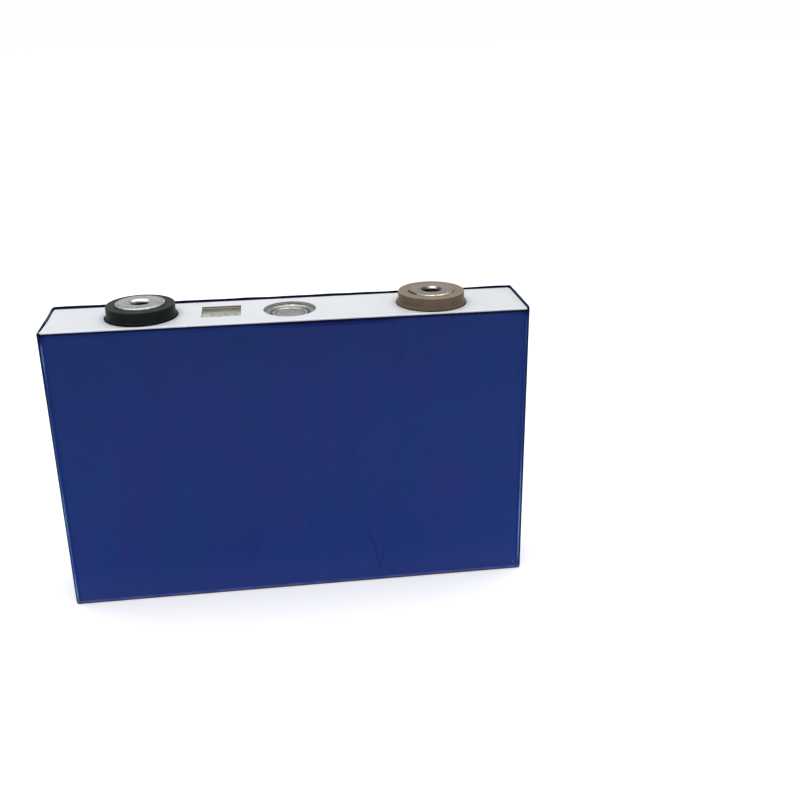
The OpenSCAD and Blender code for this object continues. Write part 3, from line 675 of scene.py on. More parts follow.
def mat_vent():
    s = Shade("vent_aluminium", Metallic=1.0)
    x, y, z = s.split(s.p)
    r = s.math("SQRT", s.math("ADD", s.math("MULTIPLY", x, x), s.math("MULTIPLY", y, y)))
    flat = s.math("LESS_THAN", r, 4.8)
    rv = s.join(r, s.math("MULTIPLY", z, 1.0), 0.0)
    rings = s.noise(rv, 5.0, 3.0, 0.65)
    l1 = lines(s, s.p, 0.25, 1)
    l2 = lines(s, s.p, 0.8, 1)
    cloud = s.noise(s.p, 0.5, 4.0, 0.6, 0.5)
    col = s.ramp(cloud, [(0.3, (0.285, 0.280, 0.270)), (0.5, (0.345, 0.340, 0.330)), (0.7, (0.400, 0.392, 0.380))])
    col = s.mix(s.remap(rings, 0.35, 0.7, 0.0, 0.3), col, (0.25, 0.245, 0.235))
    col = s.mix(s.math("MULTIPLY", flat, s.remap(l2, 0.40, 0.62, 0.0, 0.45)), col, (0.47, 0.465, 0.455))
    # an even tone on the wall, and painted glints on its slope, in broken patches
    wall = s.math("MULTIPLY", s.remap(r, 6.1, 6.4, 0.0, 1.0, smooth=True), s.remap(r, 7.4, 7.6, 1.0, 0.0, smooth=True))
    col = s.mix(s.math("MULTIPLY", wall, 0.65), col, (0.330, 0.325, 0.312))
    slope = s.math("MULTIPLY", s.remap(r, 6.75, 6.95, 0.0, 1.0, smooth=True), s.remap(r, 7.15, 7.35, 1.0, 0.0, smooth=True))
    shine = s.remap(s.noise(s.p, 0.42, 3.0, 0.6, 0.8), 0.53, 0.60, 0.0, 1.0)
    col = s.mix(s.math("MULTIPLY", s.math("MULTIPLY", slope, shine), 0.75), col, (0.80, 0.80, 0.78))
    # painted shade in the scored groove, a painted highlight on the bead inside it, and painted shade just inside the
    # bead
    groove = s.math("MULTIPLY", s.remap(r, 5.45, 5.58, 0.0, 1.0, smooth=True), s.remap(r, 6.25, 6.50, 1.0, 0.0, smooth=True))
    col = s.mix(s.math("MULTIPLY", groove, 0.85), col, (0.090, 0.087, 0.082))
    bead = s.math("MULTIPLY", s.remap(r, 4.95, 5.05, 0.0, 1.0, smooth=True), s.remap(r, 5.30, 5.42, 1.0, 0.0, smooth=True))
    col = s.mix(s.math("MULTIPLY", bead, s.remap(s.noise(s.p, 0.45, 3.0, 0.6, 0.5), 0.42, 0.58, 0.15, 0.95)), col, (0.80, 0.80, 0.78))
    inner = s.math("MULTIPLY", s.remap(r, 4.15, 4.35, 0.0, 1.0, smooth=True), s.remap(r, 4.80, 4.95, 1.0, 0.0, smooth=True))
    col = s.mix(s.math("MULTIPLY", inner, 0.6), col, (0.150, 0.147, 0.140))
    # annealing stain round the flange weld
    weld = s.math("MULTIPLY", s.remap(r, 7.55, 7.8, 0.0, 1.0, smooth=True), s.remap(cloud, 0.3, 0.7, 0.5, 1.0))
    col = s.mix(s.math("MULTIPLY", weld, 0.45), col, (0.16, 0.153, 0.142))
    s.set("Base Color", col)
    s.set("Roughness", s.mix(flat, s.remap(cloud, 0.3, 0.7, 0.22, 0.34), s.remap(cloud, 0.3, 0.7, 0.34, 0.46)))
    mixh = s.mix(flat, rings, l1)
    s.bumps((s.noise(s.p, 0.7, 2.0, 0.5), 0.00006), (mixh, 0.000008))
    return s.m


def mat_plain(name, base, other, rough=(0.4, 0.6), spec=0.4, scale=0.4, grain=0.00001, metallic=0.0, alpha=None, trans=None):
    """Film, tape, card and rubber inside the cell."""
    s = Shade(name, Metallic=metallic, Specular_IOR_Level=spec)
    c = s.noise(s.p, scale, 4.0, 0.6, 0.4)
    f = s.noise(s.p, scale * 9, 3.0, 0.65)
    col = s.mix(s.remap(c, 0.3, 0.7), base, other)
    col = s.mix(s.remap(f, 0.45, 0.75, 0.0, 0.2), col, tuple(x * 0.7 for x in base))
    s.set("Base Color", col)
    s.set("Roughness", s.remap(c, 0.3, 0.7, rough[0], rough[1]))
    s.bumps((c, grain * 3), (f, grain))
    if trans is not None:
        s.set("Transmission Weight", trans)
        s.set("IOR", 1.5)
    return s.m


def mat_foil(name, bright, shade, metallic=1.0):
    """A stack of foils, pressed together: layers across Y and Z, creased."""
    s = Shade(name, Metallic=metallic)
    layers = s.noise(s.p, 1.0, 2.0, 0.6, 0.15, stretch=(0.05, 9.0, 9.0))
    crease = s.noise(s.p, 0.35, 4.0, 0.65, 0.8)
    col = s.mix(s.remap(layers, 0.35, 0.65), shade, bright)
    col = s.mix(s.remap(crease, 0.35, 0.7, 0.0, 0.4), col, tuple(c * 0.75 for c in bright))
    s.set("Base Color", col)
    s.set("Roughness", s.remap(crease, 0.3, 0.7, 0.25, 0.42))
    s.bumps((crease, 0.00008), (layers, 0.00002))
    return s.m


def mat_roll():
    """Wound electrodes: the ends show the layers, the broad faces the last turn of separator."""
    s = Shade("electrode_roll_wound", Specular_IOR_Level=0.35)
    x, y, z = s.split(s.p)
    nx, ny, nz = s.split(s.n)
    end = s.remap(s.math("ABSOLUTE", nz), 0.6, 0.8, 0.0, 1.0)
    # distance from the roll's own middle plane
    ya = s.math("SUBTRACT", s.math("ABSOLUTE", y), 5.95)
    xx = s.math("SUBTRACT", s.math("ABSOLUTE", x), 66.1)
    xx = s.math("MAXIMUM", xx, 0.0)
    d = s.math("SQRT", s.math("ADD", s.math("MULTIPLY", xx, xx), s.math("MULTIPLY", ya, ya)))
    wave = s.math("FRACT", s.math("MULTIPLY", d, 3.1))
    coat = s.ramp(wave, [(0.0, (0.022, 0.022, 0.025)), (0.40, (0.022, 0.022, 0.025)), (0.46, (0.30, 0.15, 0.09)),
                         (0.54, (0.30, 0.15, 0.09)), (0.60, (0.62, 0.62, 0.60)), (0.70, (0.62, 0.62, 0.60)), (0.76, (0.04, 0.04, 0.045)),
                         (0.98, (0.04, 0.04, 0.045))])
    mottle = s.noise(s.p, 0.2, 4.0, 0.6, 0.4)
    face = s.ramp(mottle, [(0.3, (0.10, 0.10, 0.11)), (0.7, (0.16, 0.16, 0.17))])
    up = s.noise(s.p, 1.0, 2.0, 0.5, stretch=(1.4, 1.4, 0.02))
    face = s.mix(s.remap(up, 0.35, 0.7, 0.0, 0.35), face, (0.06, 0.06, 0.07))
    s.set("Base Color", s.mix(end, face, coat))
    s.set("Roughness", s.remap(mottle, 0.3, 0.7, 0.5, 0.68))
    s.bumps((s.math("MULTIPLY", wave, end), 0.00008), (mottle, 0.00006), (up, 0.00002))
    return s.m


def mat_floor():
    s = Shade("studio_floor", Specular_IOR_Level=0.15)
    c = s.noise(s.p, 0.004, 3.0, 0.5)
    s.set("Base Color", s.ramp(c, [(0.3, (0.945, 0.950, 0.956)), (0.7, (0.960, 0.963, 0.967))]))
    s.set("Roughness", 0.7)
    s.set("Emission Color", (0.98, 0.99, 1.0))
    s.set("Emission Strength", 0.13)
    return s.m


def mat_fold():
    """The film's lip and its fold: matt, painted nearly black as shade, with painted violet highlights over the narrow
    ends.
    """
    s = Shade("film_fold", Specular_IOR_Level=0.03)
    x, y, z = s.split(s.p)
    hx, hy = cell_w / 2, cell_d / 2
    tx = s.math("SUBTRACT", hx, s.math("ABSOLUTE", x))
    onx = s.math("GREATER_THAN", x, 0.0)
    n1 = s.noise(s.p, 0.25, 3.0, 0.6)
    n2 = s.noise(s.p, 0.9, 3.0, 0.6, 0.4)
    dark = s.ramp(n1, [(0.3, (0.0010, 0.0012, 0.010)), (0.7, (0.0030, 0.0034, 0.024))])
    vio = s.ramp(n2, [(0.3, (0.045, 0.040, 0.140)), (0.7, (0.110, 0.100, 0.280))])
    # painted highlights: on the right end violet on the crest; on the left end violet down the middle of the lip, about
    # its middle
    crest = s.remap(z, z_film + 0.66, z_film + 0.88, 0.0, 1.0, smooth=True)
    crest = s.math("MULTIPLY", s.math("MULTIPLY", crest, s.math("LESS_THAN", tx, 0.9)), s.math("LESS_THAN", s.math("ABSOLUTE", y), hy - 0.5))
    right = s.math("MULTIPLY", crest, onx)
    mid = s.math("MULTIPLY", s.remap(tx, 0.35, 0.50, 0.0, 1.0, smooth=True), s.remap(tx, 0.85, 1.05, 1.0, 0.0, smooth=True))
    along = s.math("MULTIPLY", s.remap(y, -4.5, 0.5, 0.0, 1.0, smooth=True), s.remap(y, 8.0, 11.0, 1.0, 0.0, smooth=True))
    left = s.math("MULTIPLY", s.math("MULTIPLY", mid, along), s.math("SUBTRACT", 1.0, onx))
    col = s.mix(s.math("MULTIPLY", s.math("ADD", right, left, clamp=True), 0.85), dark, vio)
    s.set("Base Color", col)
    s.set("Roughness", s.remap(n1, 0.3, 0.7, 0.5, 0.7))
    s.bumps((n1, 0.00003),)
    return s.m


vent_x = (vent_lo[0] + vent_hi[0]) / 2
win = dict(x0=-26.8, x1=-14.8, y0=-5.0, y1=6.2)
term_x = {}
for side in ("negative", "positive"):
    lo, hi = span(side + "_insulator_ring")
    term_x[side] = (lo[0] + hi[0]) / 2
neg_top = float(span("negative_terminal_post")[1][2])
pos_top = float(span("positive_terminal_post")[1][2])

M = {
    "fold": mat_fold(),
    "film": mat_film(),
    "edge": mat_film_edge(),
    "sheet": mat_sheet(),
    "black": mat_moulded("ring_black_plastic", (0.0044, 0.0068, 0.0068), (0.0022, 0.0038, 0.0038), (0.040, 0.048, 0.046), 0.09, top=(0.0150, 0.0185, 0.0180)),
    "brown": mat_moulded("ring_brown_plastic", (0.112, 0.077, 0.049), (0.078, 0.053, 0.034), (0.32, 0.265, 0.185), 0.20, top=(0.190, 0.148, 0.104)),
    "plated": mat_turned("terminal_plated", (0.430, 0.450, 0.450), (0.530, 0.540, 0.535), (0.300, 0.312, 0.312), (0.20, 0.36), 0.5, top=neg_top, bore=0.66, lip=0.25, rad=7.5),
    "bare": mat_turned("terminal_bare", (0.262, 0.236, 0.200), (0.330, 0.300, 0.256), (0.200, 0.176, 0.146), (0.26, 0.44), 0.7, 0.000009, top=pos_top, bore=0.55, lip=0.9, rad=7.2,
                       glint_colour=(0.95, 0.83, 0.62), near=0.92, sink=0.15),
    "vent": mat_vent(),
}


# ---------------------------------------------------------------- the film wrap
def build_film():
    hx, hy = cell_w / 2, cell_d / 2
    base_in = 0.015
    # stations round the outline, the same for every row
    def steps(half, base, fine=()):
        """Places along a straight side, finer inside each (from, to, step)."""
        out, s = [], -half
        while s < half - 1e-6:
            out.append(s)
            st = base
            for a, b, f in fine:
                if a <= s < b:
                    st = f
            s += st
        return out

    n_arc = 16
    lx, ly = hx - edge_r, hy - edge_r
    ends = [(-lx - 1, -lx + 1.5, 0.3), (lx - 1.5, lx + 1, 0.3)]
    endy = [(-ly - 1, -ly + 1.5, 0.3), (ly - 1.5, ly + 1, 0.3)]
    stations = []                      # (kind, a, b)
    # front side, from left to right, then round
    crease = [(18.0, 29.5, 0.30), (69.0, 71.4, 0.30)] + ends
    seam = 9.6
    for s in steps(lx, 1.5, crease):
        stations.append(("front", s))
    for k in range(n_arc):
        stations.append(("c1", -90 + 90 * k / n_arc))
    for s in steps(ly, 1.0, [(seam - 0.5, seam + 0.5, 0.12)] + endy):
        stations.append(("right", s))
    for k in range(n_arc):
        stations.append(("c2", 90 * k / n_arc))
    for s in steps(lx, 1.5, ends):
        stations.append(("rear", -s))
    for k in range(n_arc):
        stations.append(("c3", 90 + 90 * k / n_arc))
    for s in steps(ly, 1.0, [(seam - 0.5, seam + 0.5, 0.12)] + endy):
        stations.append(("left", -s))
    for k in range(n_arc):
        stations.append(("c4", 180 + 90 * k / n_arc))

    def place(st, d, r):
        """Point and outward normal of a station on the outline inset by d, with corner radius r."""
        kind, v = st
        ix, iy = hx - d - r, hy - d - r
        if kind in ("front", "rear"):
            sg = -1 if kind == "front" else 1
            return v * ix / lx, sg * (hy - d), 0.0, sg
        if kind in ("right", "left"):
            sg = 1 if kind == "right" else -1
            return sg * (hx - d), v * iy / ly, sg, 0.0
        cx = {"c1": 1, "c2": 1, "c3": -1, "c4": -1}[kind] * ix
        cy = {"c1": -1, "c2": 1, "c3": 1, "c4": -1}[kind] * iy
        a = math.radians(v)
        return cx + r * math.cos(a), cy + r * math.sin(a), math.cos(a), math.sin(a)

    def seg_dist(px, pz, ax, az, bx, bz):
        vx, vz = bx - ax, bz - az
        t = max(0, min(1, ((px - ax) * vx + (pz - az) * vz) / (vx * vx + vz * vz)))
        return math.hypot(px - ax - t * vx, pz - az - t * vz)

    def push(kind, x, y, z, nx, ny):
        """How far the film lies inside its flat surface, in millimetres."""
        d = 0.0
        e = min(1.0, max(0.0, (z - 1.0) / 2.0)) * min(1.0, max(0.0, (91.3 - z) / 1.5))
        # long soft waves
        d += e * (0.012 + 0.020 * mnoise.noise(Vector((x * 0.035, y * 0.05 + 4.0, z * 0.03))))
        if abs(ny) > 0.99:
            if ny < 0:
                # pinched V in the front film
                vee = 0.0
                for ax, az, bx, bz, amp in PINCH:
                    q = seg_dist(x, z, ax, az, bx, bz)
                    vee = max(vee, amp * math.exp(-(q / 0.34) ** 2))
                    # the film stands up a little beside the pinch
                    q2 = seg_dist(x + 0.75, z + 0.2, ax, az, bx, bz)
                    d -= 0.020 * amp * math.exp(-(q2 / 0.40) ** 2)
                d += 0.060 * vee
                # bubble near the low right corner
                q = math.hypot((x - 71.9) / 0.95, (z - 2.6) / 0.85)
                d -= 0.05 * max(0.0, 1 - q * q)
                # a short nick under the middle of the top edge
                q = math.hypot((x + 1.0) / 0.35, (z - 90.9) / 1.0)
                d += 0.05 * math.exp(-q * q)
        if abs(nx) > 0.99:
            sg = 1 if nx > 0 else -1
            # the flap that closes the film lies over the rest beyond its edge
            over = smoothstep(seam - 0.10, seam + 0.10, y * sg)
            d += e * (0.055 * (1 - over) - 0.02)
            # tucks where the corners are folded, near the top and the base
            for zc, up in ((91.9, -1), (0.0, 1)):
                h = (z - zc) * up
                if 0 < h < 16:
                    for yc, lean in ((-hy + 1.6, 1), (hy - 1.6, -1)):
                        u = (y - yc) * lean
                        for k, (rad, amp) in enumerate(((4.6, 0.050), (7.8, 0.038), (10.4, 0.022))):
                            q = math.hypot(u - 0.4, h * 0.72) - rad
                            d += e * amp * math.exp(-(q / 0.42) ** 2) * smoothstep(0.2, 2.0, h) * smoothstep(0.2, 2.5, u)
        if 0.05 < abs(nx) < 0.999 and 0.05 < abs(ny):
            d += e * 0.015 * max(0.0, mnoise.noise(Vector((x * 0.3, y * 0.3, z * 0.22))) + 0.2)
        return d

    outer = []                         # (inset, height, corner radius, rise at a wide lip, rise at a narrow one)

    def rr(d):
        return max(edge_r - d, 0.15)

    outer.append((1.7, z_film, 0.45, 0.0, 0.0))
    outer.append((1.22, z_film, 0.35, 0.25, 0.0))
    outer.append((0.95, z_film, 0.35, 0.80, 0.0))
    outer.append((0.64, z_film, rr(0.64), 1.0, 0.0))
    outer.append((0.50, z_film, rr(0.50), 1.0, 0.20))
    fold = 0.40
    for k in range(9):
        a = math.radians(90 * k / 8)
        d = base_in + fold * (1 - math.sin(a))
        wide = (1.0, 0.99, 0.96, 0.90, 0.80, 0.66, 0.48, 0.28, 0.08)[k]
        slim = (0.62, 0.92, 1.0, 0.95, 0.84, 0.68, 0.48, 0.28, 0.08)[k]
        outer.append((d, z_film - fold + fold * math.cos(a), rr(d), wide, slim))
    z = z_film - fold
    z_stop = base_r
    while True:
        st = 1.6
        if z > z_film - 17 or z < 23:
            st = 0.9
        if z < 23:
            st = 0.5
        if z > z_film - 2.2 or z < 4.5:
            st = 0.3
        z -= st
        if z <= z_stop + 0.1:
            break
        outer.append((base_in, z, rr(base_in), 0.0, 0.0))
    for k in range(7):
        b = math.radians(90 * k / 6)
        d = base_in + base_r * (1 - math.cos(b))
        outer.append((d, base_r * (1 - math.sin(b)), rr(d), 0.0, 0.0))
    outer.append((2.4, 0.0, 0.15, 0.0, 0.0))
    outer.append((4.4, 0.0, 0.15, 0.0, 0.0))
    outer.append((4.6, 0.03, 0.15, 0.0, 0.0))
    inner = []
    inner.append((5.0, 0.18, 0.12))
    for k in range(5):
        b = math.radians(90 * (4 - k) / 4)
        d = 0.22 + 0.3 * (1 - math.cos(b))
        inner.append((d, 0.18 + 0.3 * (1 - math.sin(b)), max(0.9 - (d - 0.22), 0.12)))
    inner.append((0.22, 46.0, 0.9))
    inner.append((0.22, z_film - 0.18, 0.9))
    inner.append((1.7, z_film - 0.18, 0.45))

    def lift(st, x, y):
        """How far the folded lip springs up round the white sheet, and how wide the lip shows there."""
        kind, v = st
        along = y / hy
        wave = 1 + 0.16 * mnoise.noise(Vector((x * 0.11, y * 0.16, 7.0)))
        if kind == "front":
            return 0.0, 0.0
        if kind == "c1":
            return 1.25 * smoothstep(-70, 0, v) * wave, 0.0
        if kind == "right":
            return 1.25 * wave, 0.0
        if kind == "c2":
            t = v / 90
            return (1.25 * (1 - t) + 1.02 * t) * wave, smoothstep(0.3, 1.0, t)
        if kind == "rear":
            return 1.02 * wave, 1.0
        if kind == "c3":
            t = (v - 90) / 90
            return (1.02 * (1 - t) + 0.60 * t) * wave, 1.0
        if kind in ("left", "c4"):
            w = smoothstep(5.0, 11.0, y)
            return (0.50 + 0.2 * w) * smoothstep(-13.26, -12.80, y) * min(wave, 1.0) * (0.94 + 0.06 * w), 1.0
        return 0.0, 1.0

    verts = []
    n = len(stations)
    for (d, z, r, wide, slim) in outer:
        for st in stations:
            x, y, nx, ny = place(st, d, r)
            if 0.3 < z < z_film - 0.02 and d < 1.0:
                p = min(0.10, max(-base_in, push(st[0], x, y, z, nx, ny)))
                x -= nx * p
                y -= ny * p
            zz = z
            if wide or slim:
                up, q = lift(st, x, y)
                zz = z + up * (wide * q + slim * (1 - q))
            verts.append((x, y, zz))
    first_inner = len(verts)
    for (d, z, r) in inner:
        for st in stations:
            x, y, nx, ny = place(st, d, r)
            verts.append((x, y, z))
    faces = []
    rows_out = len(outer)
    rows_in = len(inner)

    def band(a, b):
        for j in range(n):
            j2 = (j + 1) % n
            faces.append((a + j, a + j2, b + j2, b + j))

    for k in range(rows_out - 1):
        band(k * n, (k + 1) * n)
    faces.append(tuple((rows_out - 1) * n + j for j in range(n)))
    for k in range(rows_in - 1):
        band(first_inner + k * n, first_inner + (k + 1) * n)
    faces.append(tuple(first_inner + j for j in reversed(range(n))))
    band(first_inner + (rows_in - 1) * n, 0)
    ob = make_object("film_wrap", verts, faces, [M["film"], M["fold"], M["edge"]], sharp=55)
    outward(ob)
    for p in ob.data.polygons:
        c = p.center / MM
        tx, ty = hx - abs(c.x), hy - abs(c.y)
        if c.z > z_film - 0.30:
            p.material_index = 1
        elif (tx < 2.5 if tx > ty else ty < 1.45) or c.z > z_film - 2.15 or (c.z < 1.6 and min(tx, ty) < 1.0):
            p.material_index = 2
    return piece(ob, "film", "outer_film")


build_film()


# ---------------------------------------------------------------- the white sheet
def rounded_rect(x0, x1, y0, y1, r, n=8):
    pts = []
    for cx, cy, a0 in ((x1 - r, y0 + r, -90), (x1 - r, y1 - r, 0), (x0 + r, y1 - r, 90), (x0 + r, y0 + r, 180)):
        for k in range(n + 1):
            a = math.radians(a0 + 90 * k / n)
            pts.append((cx + r * math.cos(a), cy + r * math.sin(a)))
    return pts


def circle(cx, cy, r, n):
    return [(cx + r * math.cos(2 * math.pi * k / n), cy + r * math.sin(2 * math.pi * k / n)) for k in range(n)]


def plate(name, loops, z0, z1, material, bevel=0.05, sharp=40):
    """A flat sheet with holes: the first loop is the outline. The cut edges are softened."""
    cu = bpy.data.curves.new(name + "_cut", "CURVE")
    cu.dimensions = "2D"
    cu.fill_mode = "BOTH"
    cu.extrude = (z1 - z0) / 2 * MM - bevel * MM
    cu.bevel_depth = bevel * MM
    cu.bevel_resolution = 2
    cu.offset = -bevel * MM
    for loop in loops:
        sp = cu.splines.new("POLY")
        sp.points.add(len(loop) - 1)
        for p, (x, y) in zip(sp.points, loop):
            p.co = (x * MM, y * MM, 0, 1)
        sp.use_cyclic_u = True
    tmp = bpy.data.objects.new(name + "_cut", cu)
    bpy.context.scene.collection.objects.link(tmp)
    bpy.context.view_layer.update()
    me = bpy.data.meshes.new_from_object(tmp.evaluated_get(bpy.context.evaluated_depsgraph_get()))
    bpy.data.objects.remove(tmp)
    me.name = name
    me.materials.clear()
    bm = bmesh.new()
    bm.from_mesh(me)
    bmesh.ops.remove_doubles(bm, verts=bm.verts, dist=1e-7)
    bmesh.ops.translate(bm, vec=(0, 0, (z0 + z1) / 2 * MM), verts=bm.verts)
    bmesh.ops.recalc_face_normals(bm, faces=bm.faces)
    bm.to_mesh(me)
    bm.free()
    me.materials.append(material)
    me.shade_smooth()
    me.set_sharp_from_angle(angle=math.radians(sharp))
    ob = bpy.data.objects.new(name, me)
    bpy.context.scene.collection.objects.link(ob)
    return ob



def sheet_outline():
    """The sheet as cut and stuck by hand: flush at the front, further in at the rear and at the left end."""
    x0, y0 = film_lo[0], film_lo[1] + 0.34
    x1, y1 = film_hi[0] - 0.74, film_hi[1] - 1.34
    left = [(1.28, y1, 1.1), (1.24, 7.0, 0), (1.36, 3.0, 0), (1.38, -0.5, 0), (1.30, -4.0, 0), (1.20, -7.0, 0), (1.10, -9.8, 0),
            (0.96, -11.5, 0), (0.78, -12.3, 0), (0.62, y0 + 0.30, 0.10)]
    pts = [(x1, y0 + 0.65, 0.30, 5), (x1 - 0.04, y1, 1.2, 7)] + [(x0 + d, y, r, 6) for d, y, r in left]
    return fillet(pts)


def cutout(cx, wide, front, rear):
    """A round cut-out, punched a little long or short towards the front and the rear."""
    loop = []
    for k in range(128):
        t = 2 * math.pi * k / 128
        deep = front if math.sin(t) < 0 else rear
        loop.append((cx + wide * math.cos(t), deep * math.sin(t)))
    return loop


sheet = plate(
    "white_top_sheet",
    [sheet_outline(),
     cutout(term_x["negative"], 11.22, 11.5, 11.3), cutout(term_x["positive"], 11.25, 11.6, 11.35),
     cutout(vent_x, 8.2, 8.4, 8.1), rounded_rect(win["x0"], win["x1"], win["y0"], win["y1"], 0.25, 3)],
    z_film, z_top, M["sheet"], 0.06)
piece(sheet, "white_sheet", "top_insulation_sheet")


# ---------------------------------------------------------------- rings, posts and vent
def build_ring(side, mat, slot):
    lo, hi = span(side + "_insulator_ring")
    plo, phi = span(side + "_terminal_post")
    x = term_x[side]
    foot_r = (hi[0] - lo[0]) / 2 - 0.08
    ring_r = foot_r - 0.77
    top = hi[2]
    disc_r = (phi[0] - plo[0]) / 2
    rp = disc_r + 0.14
    shank = 4.3
    z0 = z_lid
    floor_z = z_lid + 1.0
    foot_top = z_top + 0.5
    b = foot_r - ring_r
    prof = [(6.4, z0), (foot_r - 0.06, z0), (foot_r, z0 + 0.06)]
    prof += [(foot_r, z0 + 0.5), (foot_r, foot_top - 0.22), (foot_r - 0.03, foot_top - 0.08), (foot_r - 0.10, foot_top + 0.0)]
    for k in range(1, 11):
        a = math.radians(270 - 9 * k)
        prof.append((foot_r + b * math.cos(a), foot_top + b + b * math.sin(a)))
    e = 0.38
    prof.append((ring_r, top - 1.4))
    for k in range(0, 8):
        a = math.radians(90 * k / 7)
        prof.append((ring_r - e + e * math.cos(a), top - e + e * math.sin(a)))
    # the flat top dips slightly towards a low lip round the pocket
    prof += [(ring_r - 0.9, top - 0.015), (rp + 0.75, top - 0.06), (rp + 0.50, top - 0.05), (rp + 0.38, top - 0.01), (rp + 0.22, top - 0.01),
             (rp + 0.10, top - 0.05), (rp, top - 0.16), (rp, top - 0.8), (rp, floor_z + 0.06), (rp - 0.06, floor_z)]
    prof += [(shank + 0.06, floor_z), (shank, floor_z - 0.06), (shank, z0 + 0.5), (6.4, z0 + 0.5)]

    def wob(r, z, t):
        k = mnoise.noise(Vector((math.cos(t) * 1.3, math.sin(t) * 1.3, z * 0.4 + x))) * 0.018
        if r > ring_r:
            # the moulded foot is a little slimmer than the drawing's
            r = ring_r + (r - ring_r) * (0.72 if side == "negative" else 0.86)
        if side == "negative" and r > ring_r and z > z_top - 0.3:
            # its foot hardly flares on the left
            r = ring_r + (r - ring_r) * (1 - 0.36 * smoothstep(0.25, 0.95, -math.cos(t)) * smoothstep(z_top - 0.3, z_top + 0.1, z))
        if r > ring_r - 0.6:
            r = min(r + k - 0.02, foot_r)
        return r, z

    v, f = lathe_grid(prof, 128, True, wob)
    ob = make_object(side + "_ring_moulded", v, f, [mat], (x, 0, 0), sharp=38)
    outward(ob)
    return piece(ob, slot, side + "_insulator_ring")


def build_post(side, mat, slot, tap=5.0, sink=6.8, depth=5.8):
    lo, hi = span(side + "_terminal_post")
    x = (lo[0] + hi[0]) / 2
    r = (hi[0] - lo[0]) / 2
    top = hi[2]
    low = lo[2]
    floor_z = z_lid + 1.0
    shank = 4.3
    segs = 96
    rows = []                          # (radius, height, thread?)
    # down the hole
    hole = []
    rk, rt = sink / 2, tap / 2
    dz = 0.07
    z = top - depth
    hole.append((0.0, z - 0.9, 0))
    hole.append((rt * 0.5, z - 0.45, 0))
    hole.append((rt, z, 0))
    k = int(round((depth - 0.0) / dz))
    for i in range(1, k):
        hole.append((rt, z + depth * i / k, 1))
    hole.append((rk, top - 0.05, 0))
    hole.append((rk + 0.05, top, 0))
    outer = []
    # turned face: a centre land, a shallow groove near the rim and a chamfer
    face = [(rk + 0.35, top), (r * 0.62, top), (r - 0.95, top), (r - 0.88, top - 0.012), (r - 0.82, top - 0.012), (r - 0.75, top),
            (r - 0.32, top), (r - 0.26, top - 0.015), (r - 0.20, top - 0.05), (r - 0.06, top - 0.19), (r - 0.015, top - 0.25), (r, top - 0.33)]
    rest = [(r, floor_z + 0.1), (r - 0.1, floor_z), (shank, floor_z), (shank, low + 0.75), (shank + 1.2, low + 0.7), (shank + 1.3, low + 0.6),
            (shank + 1.3, low + 0.1), (shank + 1.2, low), (0.0, low)]
    prof = [(a, b) for a, b, c in hole] + face + rest
    threaded = {i for i, (a, b, c) in enumerate(hole) if c}
    verts, index = [], []
    for i, (rr, zz) in enumerate(prof):
        if rr <= 1e-9:
            index.append([len(verts)] * segs)
            verts.append((0, 0, zz))
            continue
        row = []
        for j in range(segs):
            t = 2 * math.pi * j / segs
            q, zq = rr, zz
            if i in threaded:
                ph = (zz + t / (2 * math.pi)) % 1.0
                tri = 1 - abs(ph - 0.5) * 2
                tri = max(0.0, min(1.0, (tri - 0.10) / 0.78))
                fade = smoothstep(top - depth, top - depth + 0.9, zz)
                cone = rk - (top - zz)
                q = max(rt + 0.46 * tri * fade, cone)
            row.append(len(verts))
            # handling dents on the rim
            if side == "positive" and rr > r - 0.55 and zz > top - 0.5:
                kx = mnoise.noise(Vector((math.cos(t) * 5, math.sin(t) * 5, 2.0)))
                q -= max(0.0, kx - 0.12) * 0.18
                zq -= max(0.0, kx - 0.12) * 0.10
            verts.append((q * math.cos(t), q * math.sin(t), zq))
        index.append(row)
    faces = []
    for k in range(len(prof) - 1):
        a, b = index[k], index[k + 1]
        for j in range(segs):
            j2 = (j + 1) % segs
            g = []
            for vv in (a[j], a[j2], b[j2], b[j]):
                if vv not in g:
                    g.append(vv)
            if len(g) >= 3:
                faces.append(g)
    ob = make_object(side + "_post_turned", verts, faces, [mat], (x, 0, 0), sharp=40)
    outward(ob)
    return piece(ob, slot, side + "_terminal_post")


def build_vent():
    x = vent_x
    zt = z_lid - 0.1
    zm = z_lid - 0.75
    rb = 5.75
    prof = [(0.0, zm - 0.36), (rb + 0.3, zm - 0.34), (6.85, z_lid - 0.62), (8.22, z_lid - 0.5), (8.28, z_lid - 0.44), (8.28, zt - 0.05), (8.24, zt)]
    # weld bead round the flange
    for k in range(1, 7):
        a = math.pi * k / 7
        prof.append((8.08 + 0.14 * math.cos(a), zt + 0.05 * math.sin(a)))
    prof += [(7.80, zt), (7.70, zt - 0.02), (7.60, zt - 0.07)]
    # sloped wall, very slightly bellied
    for k in range(1, 9):
        t = k / 9
        prof.append((7.60 + (rb + 0.34 - 7.60) * t, zt - 0.07 + (zm + 0.02 - zt + 0.07) * (t ** 1.15)))
    prof += [(rb + 0.25, zm - 0.03), (rb + 0.14, zm - 0.12), (rb + 0.04, zm - 0.15), (rb - 0.06, zm - 0.12), (rb - 0.17, zm - 0.01),
             (rb - 0.27, zm + 0.10), (rb - 0.38, zm + 0.16), (rb - 0.52, zm + 0.175), (rb - 0.66, zm + 0.15), (rb - 0.78, zm + 0.07),
             (rb - 0.90, zm - 0.01), (rb - 1.1, zm - 0.02), (3.2, zm - 0.03), (1.8, zm - 0.025), (0.0, zm - 0.02)]

    def wob(r, z, t):
        if z > zm - 0.2 and r < 7.6:
            z += 0.022 * mnoise.noise(Vector((r * 0.5 * math.cos(t), r * 0.5 * math.sin(t), 1.7)))
        return r, z

    v, f = lathe_grid(prof, 128, False, wob)
    ob = make_object("vent_disc_formed", v, f, [M["vent"]], (x, 0, 0), sharp=45)
    outward(ob)
    return piece(ob, "vent_metal", "vent_burst_disc")


